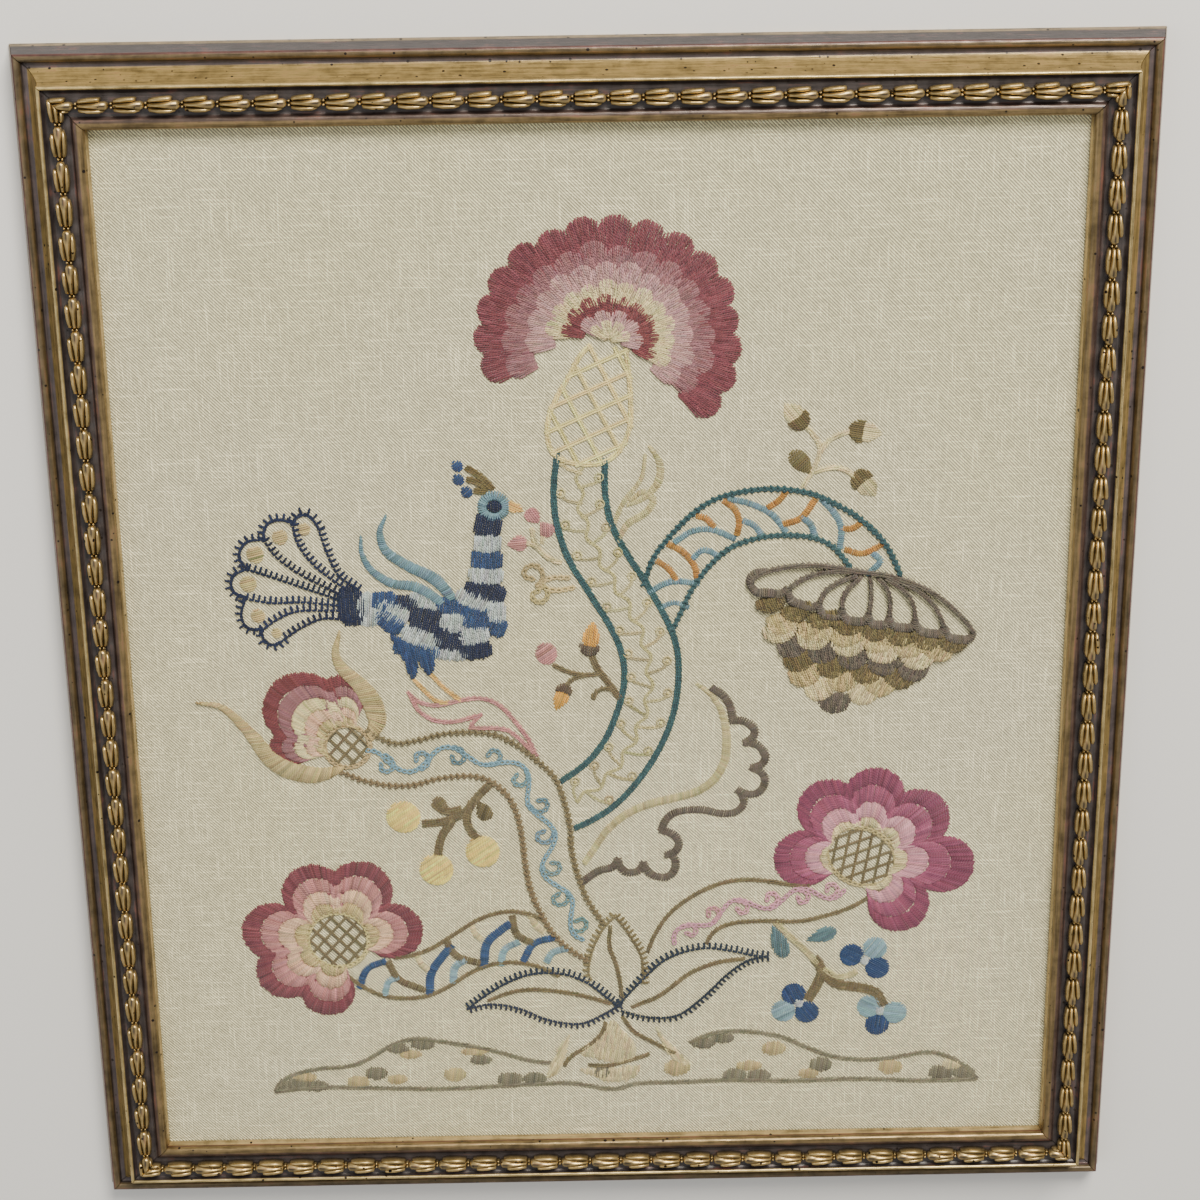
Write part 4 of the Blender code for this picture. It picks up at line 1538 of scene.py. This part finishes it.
def rail_frame(rail):
    """Which way a rail runs, which way is out from the picture, its length and its outer edge's distance."""
    size = (FRAME_HIGH - FRAME_LOW).to_2d()
    return {
        "rail_top": (Vector((1, 0, 0)), Vector((0, 1, 0)), size.x, FRAME_HIGH.y),
        "rail_right": (Vector((0, -1, 0)), Vector((1, 0, 0)), size.y, FRAME_HIGH.x),
        "rail_bottom": (Vector((-1, 0, 0)), Vector((0, -1, 0)), size.x, -FRAME_LOW.y),
        "rail_left": (Vector((0, 1, 0)), Vector((-1, 0, 0)), size.y, -FRAME_LOW.x),
    }[rail]


def make_moulding(rail, gilt):
    """A rail's moulding, mitred at both ends, its edges soft and its faces a little uneven."""
    along, out, length, reach = rail_frame(rail)
    section = section_points()
    stations = np.linspace(-1, 1, int(length / MM / STATION) + 1)
    count = len(section)
    verts, lay = [], []
    for share in stations:
        for across, height, way in section[:, :3] * MM:
            run = share * (length / 2 - across - MITRE_GAP / math.sqrt(2))
            spot = along * run + out * (reach - across) + Vector((0, 0, height))
            verts.append(spot)
            lay.append((run, way, 0.0))
    faces = []
    for ring in range(len(stations) - 1):
        for i in range(count):
            j = (i + 1) % count
            a, b = ring * count, (ring + 1) * count
            faces.append((a + i, b + i, b + j, a + j))
    faces.append(tuple(range(count)))
    faces.append(tuple(reversed(range((len(stations) - 1) * count, len(stations) * count))))
    mesh = bpy.data.meshes.new(rail)
    mesh.from_pydata(verts, [], faces)
    finishes = np.tile(section[:, 3:], (len(stations), 1))
    finish_attributes(mesh, finishes[:, :3], finishes[:, 3], np.array(lay))
    uneven_by_hand(mesh)
    outward(mesh)
    mesh.shade_smooth()
    mesh.set_sharp_from_angle(angle=math.radians(SHARP_ANGLE))
    mesh.materials.append(gilt)
    piece = placed(rail.replace("rail", "moulding"), mesh)
    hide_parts(rail)
    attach(piece, BODY)


def uneven_by_hand(mesh):
    """Moves points up or down by hundredths of a millimetre, as scraped gesso lies."""
    for vertex in mesh.vertices:
        if vertex.co.z > BACK_EDGE * MM:
            vertex.co.z += noise.noise(vertex.co * HAND_PATCH) * HAND_DEPTH * MM


def outward(mesh):
    """Turns every face outwards."""
    shell = bmesh.new()
    shell.from_mesh(mesh)
    bmesh.ops.recalc_face_normals(shell, faces=shell.faces)
    shell.to_mesh(mesh)
    shell.free()


# A bud of the ornament, in millimetres: x runs to its head, y across the bed, and z is up from the bed. Each
# lobe is a row of rings: (x, y, half its width, its top).
BUD_LOBES = (
    ((-6.9, 0.0, 0.5, 3.0), (-5.9, 0.0, 0.9, 5.0), (-2.5, 0.0, 1.05, 5.9), (0.8, 0.0, 1.4, 6.3),
     (3.4, 0.0, 1.9, 6.4), (5.3, 0.0, 2.0, 6.0), (6.4, 0.0, 1.5, 5.0), (6.8, 0.0, 0.5, 3.4)),
    ((-6.6, 1.7, 0.4, 3.0), (-5.9, 1.9, 1.0, 4.8), (-2.0, 2.35, 1.2, 5.4), (1.8, 2.6, 1.2, 5.2),
     (3.2, 2.65, 1.0, 4.8), (3.6, 2.65, 0.5, 3.4)),
    ((-6.6, -1.7, 0.4, 3.0), (-5.9, -1.9, 1.0, 4.8), (-2.0, -2.35, 1.15, 5.4), (2.4, -2.4, 1.1, 5.2),
     (4.6, -2.1, 0.7, 4.2), (5.2, -1.9, 0.3, 3.0)),
    ((-8.1, 0.9, 0.2, 2.4), (-7.7, 0.9, 0.7, 3.8), (-7.0, 0.9, 0.7, 3.8), (-6.6, 0.9, 0.2, 2.6)),
    ((-8.1, -0.9, 0.2, 2.4), (-7.7, -0.9, 0.7, 3.8), (-7.0, -0.9, 0.7, 3.8), (-6.6, -0.9, 0.2, 2.6)),
)
BUD_RING = 8
LOBE_MIDDLE = 0.45  # the height of a lobe's middle, as a share of its top
PAINTED_LIGHT_SIDE, PAINTED_LIGHT_RISE = 0.15, 1.5  # the painted light on a lobe's side, and how fast it grows upwards; lower down is painted shade
LEAF_LEFT = (0.15, 0.8)  # the leaf kept in the hollows of a bud, and how much more on its top
BUD_SLOT = {"from": 3.0, "to": 5.5, "deep": 1.1}  # the cut in a bud's head
# The bud's gold on its tops, and the painted shade at the sides and foot of each lobe.
BUD_GOLD, BUD_PAINTED_SHADE = "#c0a670", "#2c221c"


def bud_ring(x, y, half_width, top, slotted):
    """The points of one ring of a lobe, with how much painted light each gets: full gold on top, painted
    shade at the foot.
    """
    rows = []
    for turn in np.arange(BUD_RING) * math.tau / BUD_RING:
        up, side = math.cos(turn), math.sin(turn)
        height = top * (LOBE_MIDDLE + (1 - LOBE_MIDDLE) * up)
        gilt = min(max(PAINTED_LIGHT_SIDE + PAINTED_LIGHT_RISE * up, 0.0), 1.0)
        # The slot in the head is sunk and filled with painted shade.
        if slotted and up == 1:
            height, gilt = height - BUD_SLOT["deep"], 0.0
        rows.append((x, y + half_width * side, height, gilt))
    return rows


def make_bud(gilt):
    """One bud: a long middle lobe with a slotted head, two side petals and a pair of beads at its foot."""
    points, faces = [], []
    for lobe in BUD_LOBES:
        for i, (x, y, half_width, top) in enumerate(lobe):
            slotted = y == 0 and BUD_SLOT["from"] < x < BUD_SLOT["to"]
            start = len(points)
            points += bud_ring(x, y, half_width, top, slotted)
            ring = list(range(start, start + BUD_RING))
            if i in (0, len(lobe) - 1):
                faces.append(ring)
            if i:
                faces += [(k - BUD_RING, j - BUD_RING, j, k) for k, j in zip(ring, ring[1:] + ring[:1])]
    table = np.array(points)
    mesh = bpy.data.meshes.new("bud")
    mesh.from_pydata((table[:, :3] * MM).tolist(), [], faces)
    # Painted shade: each point's tone and leaf run from dark at a lobe's sides and foot to gold on its top.
    lit = table[:, 3]
    dark, gold = np.array(linear(BUD_PAINTED_SHADE)[:3]), np.array(linear(BUD_GOLD)[:3])
    leaf = LEAF_LEFT[0] + LEAF_LEFT[1] * lit
    finish_attributes(mesh, dark + (gold - dark) * lit[:, None], leaf, table[:, :3] * MM)
    outward(mesh)
    mesh.shade_smooth()
    mesh.materials.append(gilt)
    return bpy.data.objects.new("bud", mesh)


def make_bud_chain(rail, bud, linked, gilt):
    """The run of buds along a rail, all heading clockwise, cut off by the mitres."""
    along, out, length, reach = rail_frame(rail)
    half = length / 2 - BED_LINE * MM
    middle = out * (reach - BED_LINE * MM) + Vector((0, 0, BED_HEIGHT * MM))
    spare = BUD_PITCH * MM
    ends = [tuple((middle + along * side * (half + spare)) / MM) for side in (-1, 1)]
    path = line_mesh([(np.array(ends), None, 1.0)])
    settings = {"Link": bud, "Pitch": BUD_PITCH * MM, "Material": gilt}
    mesh = grown(path, linked, Unevenness=UNEVENNESS["bud"], **settings)
    shell = bmesh.new()
    shell.from_mesh(mesh)
    for side in (-1, 1):
        corner = out * reach + along * side * (length / 2 - MITRE_GAP)
        beyond = (along * side - out).normalized()
        whole = [*shell.verts, *shell.edges, *shell.faces]
        cut = bmesh.ops.bisect_plane(shell, geom=whole, plane_co=corner, plane_no=beyond, clear_outer=True)
        rims = [e for e in cut["geom_cut"] if isinstance(e, bmesh.types.BMEdge)]
        bmesh.ops.holes_fill(shell, edges=rims)
    shell.to_mesh(mesh)
    shell.free()
    piece = placed(rail.replace("rail", "bud_chain"), mesh)
    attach(piece, BODY)


def make_frame(gilt, setting):
    """The four rails with their ornament."""
    bud_shape = make_bud(gilt)
    for rail in RAILS:
        make_moulding(rail, gilt)
        make_bud_chain(rail, bud_shape, setting, gilt)
    bpy.data.objects.remove(bud_shape)


# ---------------------------------------------------------------- linen

CLOTH_STEP = 5.0
CLOTH_THICK = 1.2
CLOTH_RIPPLE = 0.12
RIPPLES = (14, 22, 3.0)  # ripples to the metre across and up, and which of all ripples they are


def make_linen(cloth):
    """The linen ground, drawn flat over its strainer with only a breath of unevenness."""
    size = (LINEN_HIGH - LINEN_LOW) / MM
    shell = bmesh.new()
    across, up = int(size.x / CLOTH_STEP), int(size.y / CLOTH_STEP)
    bmesh.ops.create_grid(shell, x_segments=across, y_segments=up, size=0.5)
    for vert in shell.verts:
        x, y = vert.co.x * size.x * MM, vert.co.y * size.y * MM
        ripple = noise.noise(Vector((x * RIPPLES[0], y * RIPPLES[1], RIPPLES[2]))) - 1
        vert.co = (x, y, (CLOTH_FACE + ripple * CLOTH_RIPPLE) * MM)
    bmesh.ops.recalc_face_normals(shell, faces=shell.faces)
    mesh = bpy.data.meshes.new("linen")
    shell.to_mesh(mesh)
    shell.free()
    if mesh.polygons[0].normal.z < 0:
        mesh.flip_normals()
    mesh.shade_smooth()
    mesh.materials.append(cloth)
    piece = placed("linen_cloth", mesh)
    body = piece.modifiers.new("body", "SOLIDIFY")
    body.thickness = CLOTH_THICK * MM
    body.offset = -1
    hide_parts("linen_ground")
    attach(piece, BODY)


# ---------------------------------------------------------------- floor, light and camera

FLOOR_SIZE = 12.0


def make_floor(paper):
    mesh = bpy.data.meshes.new("floor")
    half = FLOOR_SIZE / 2
    corners = [(-half, -half, 0), (half, -half, 0), (half, half, 0), (-half, half, 0)]
    mesh.from_pydata(corners, [], [(0, 1, 2, 3)])
    mesh.materials.append(paper)
    floor = placed("floor", mesh)


LIGHTS = (
    {"name": "window", "at": (0.6, 1.9, 1.7), "size": 1.0, "watts": 100.0, "colour": "#fff9ef"},
    {"name": "fill", "at": (-1.5, 0.2, 1.8), "size": 1.8, "watts": 8.0, "colour": "#f4f7ff"},
)
WORLD_LIGHT = {"colour": "#f2f1ee", "strength": 0.62}


def light_studio():
    for row in LIGHTS:
        lamp = bpy.data.lights.new(row["name"], "AREA")
        lamp.size = row["size"]
        lamp.energy = row["watts"]
        lamp.color = linear(row["colour"])[:3]
        holder = placed(row["name"], lamp)
        holder.location = row["at"]
        holder.rotation_euler = (-Vector(row["at"])).to_track_quat("-Z", "Y").to_euler()
    world = bpy.data.worlds.new("soft room")
    world.use_nodes = True
    sky = world.node_tree.nodes["Background"]
    sky.inputs["Color"].default_value = linear(WORLD_LIGHT["colour"])
    sky.inputs["Strength"].default_value = WORLD_LIGHT["strength"]
    bpy.context.scene.world = world


CAMERA = {"from": (-0.0072, 0.4239, 1.1009), "turn": (19.87, 0.395, 0.967), "lens": 76.1, "sensor": 36.0,
          "shift": (0.001, -0.003)}


def set_camera():
    lens = bpy.data.cameras.new("camera")
    lens.lens = CAMERA["lens"]
    lens.sensor_width = CAMERA["sensor"]
    lens.shift_x, lens.shift_y = CAMERA["shift"]
    camera = placed("camera", lens)
    turn = Euler([math.radians(a) for a in CAMERA["turn"]]).to_matrix().transposed()
    camera.matrix_world = Matrix.Translation(CAMERA["from"]) @ turn.to_4x4()
    bpy.context.scene.camera = camera


# ---------------------------------------------------------------- the piece, put together

make_frame(toned_leaf(), linked_stitch_tree())
make_linen(linen_twill())
work_motifs(crewel_wool())
make_floor(studio_paper())
light_studio()
set_camera()
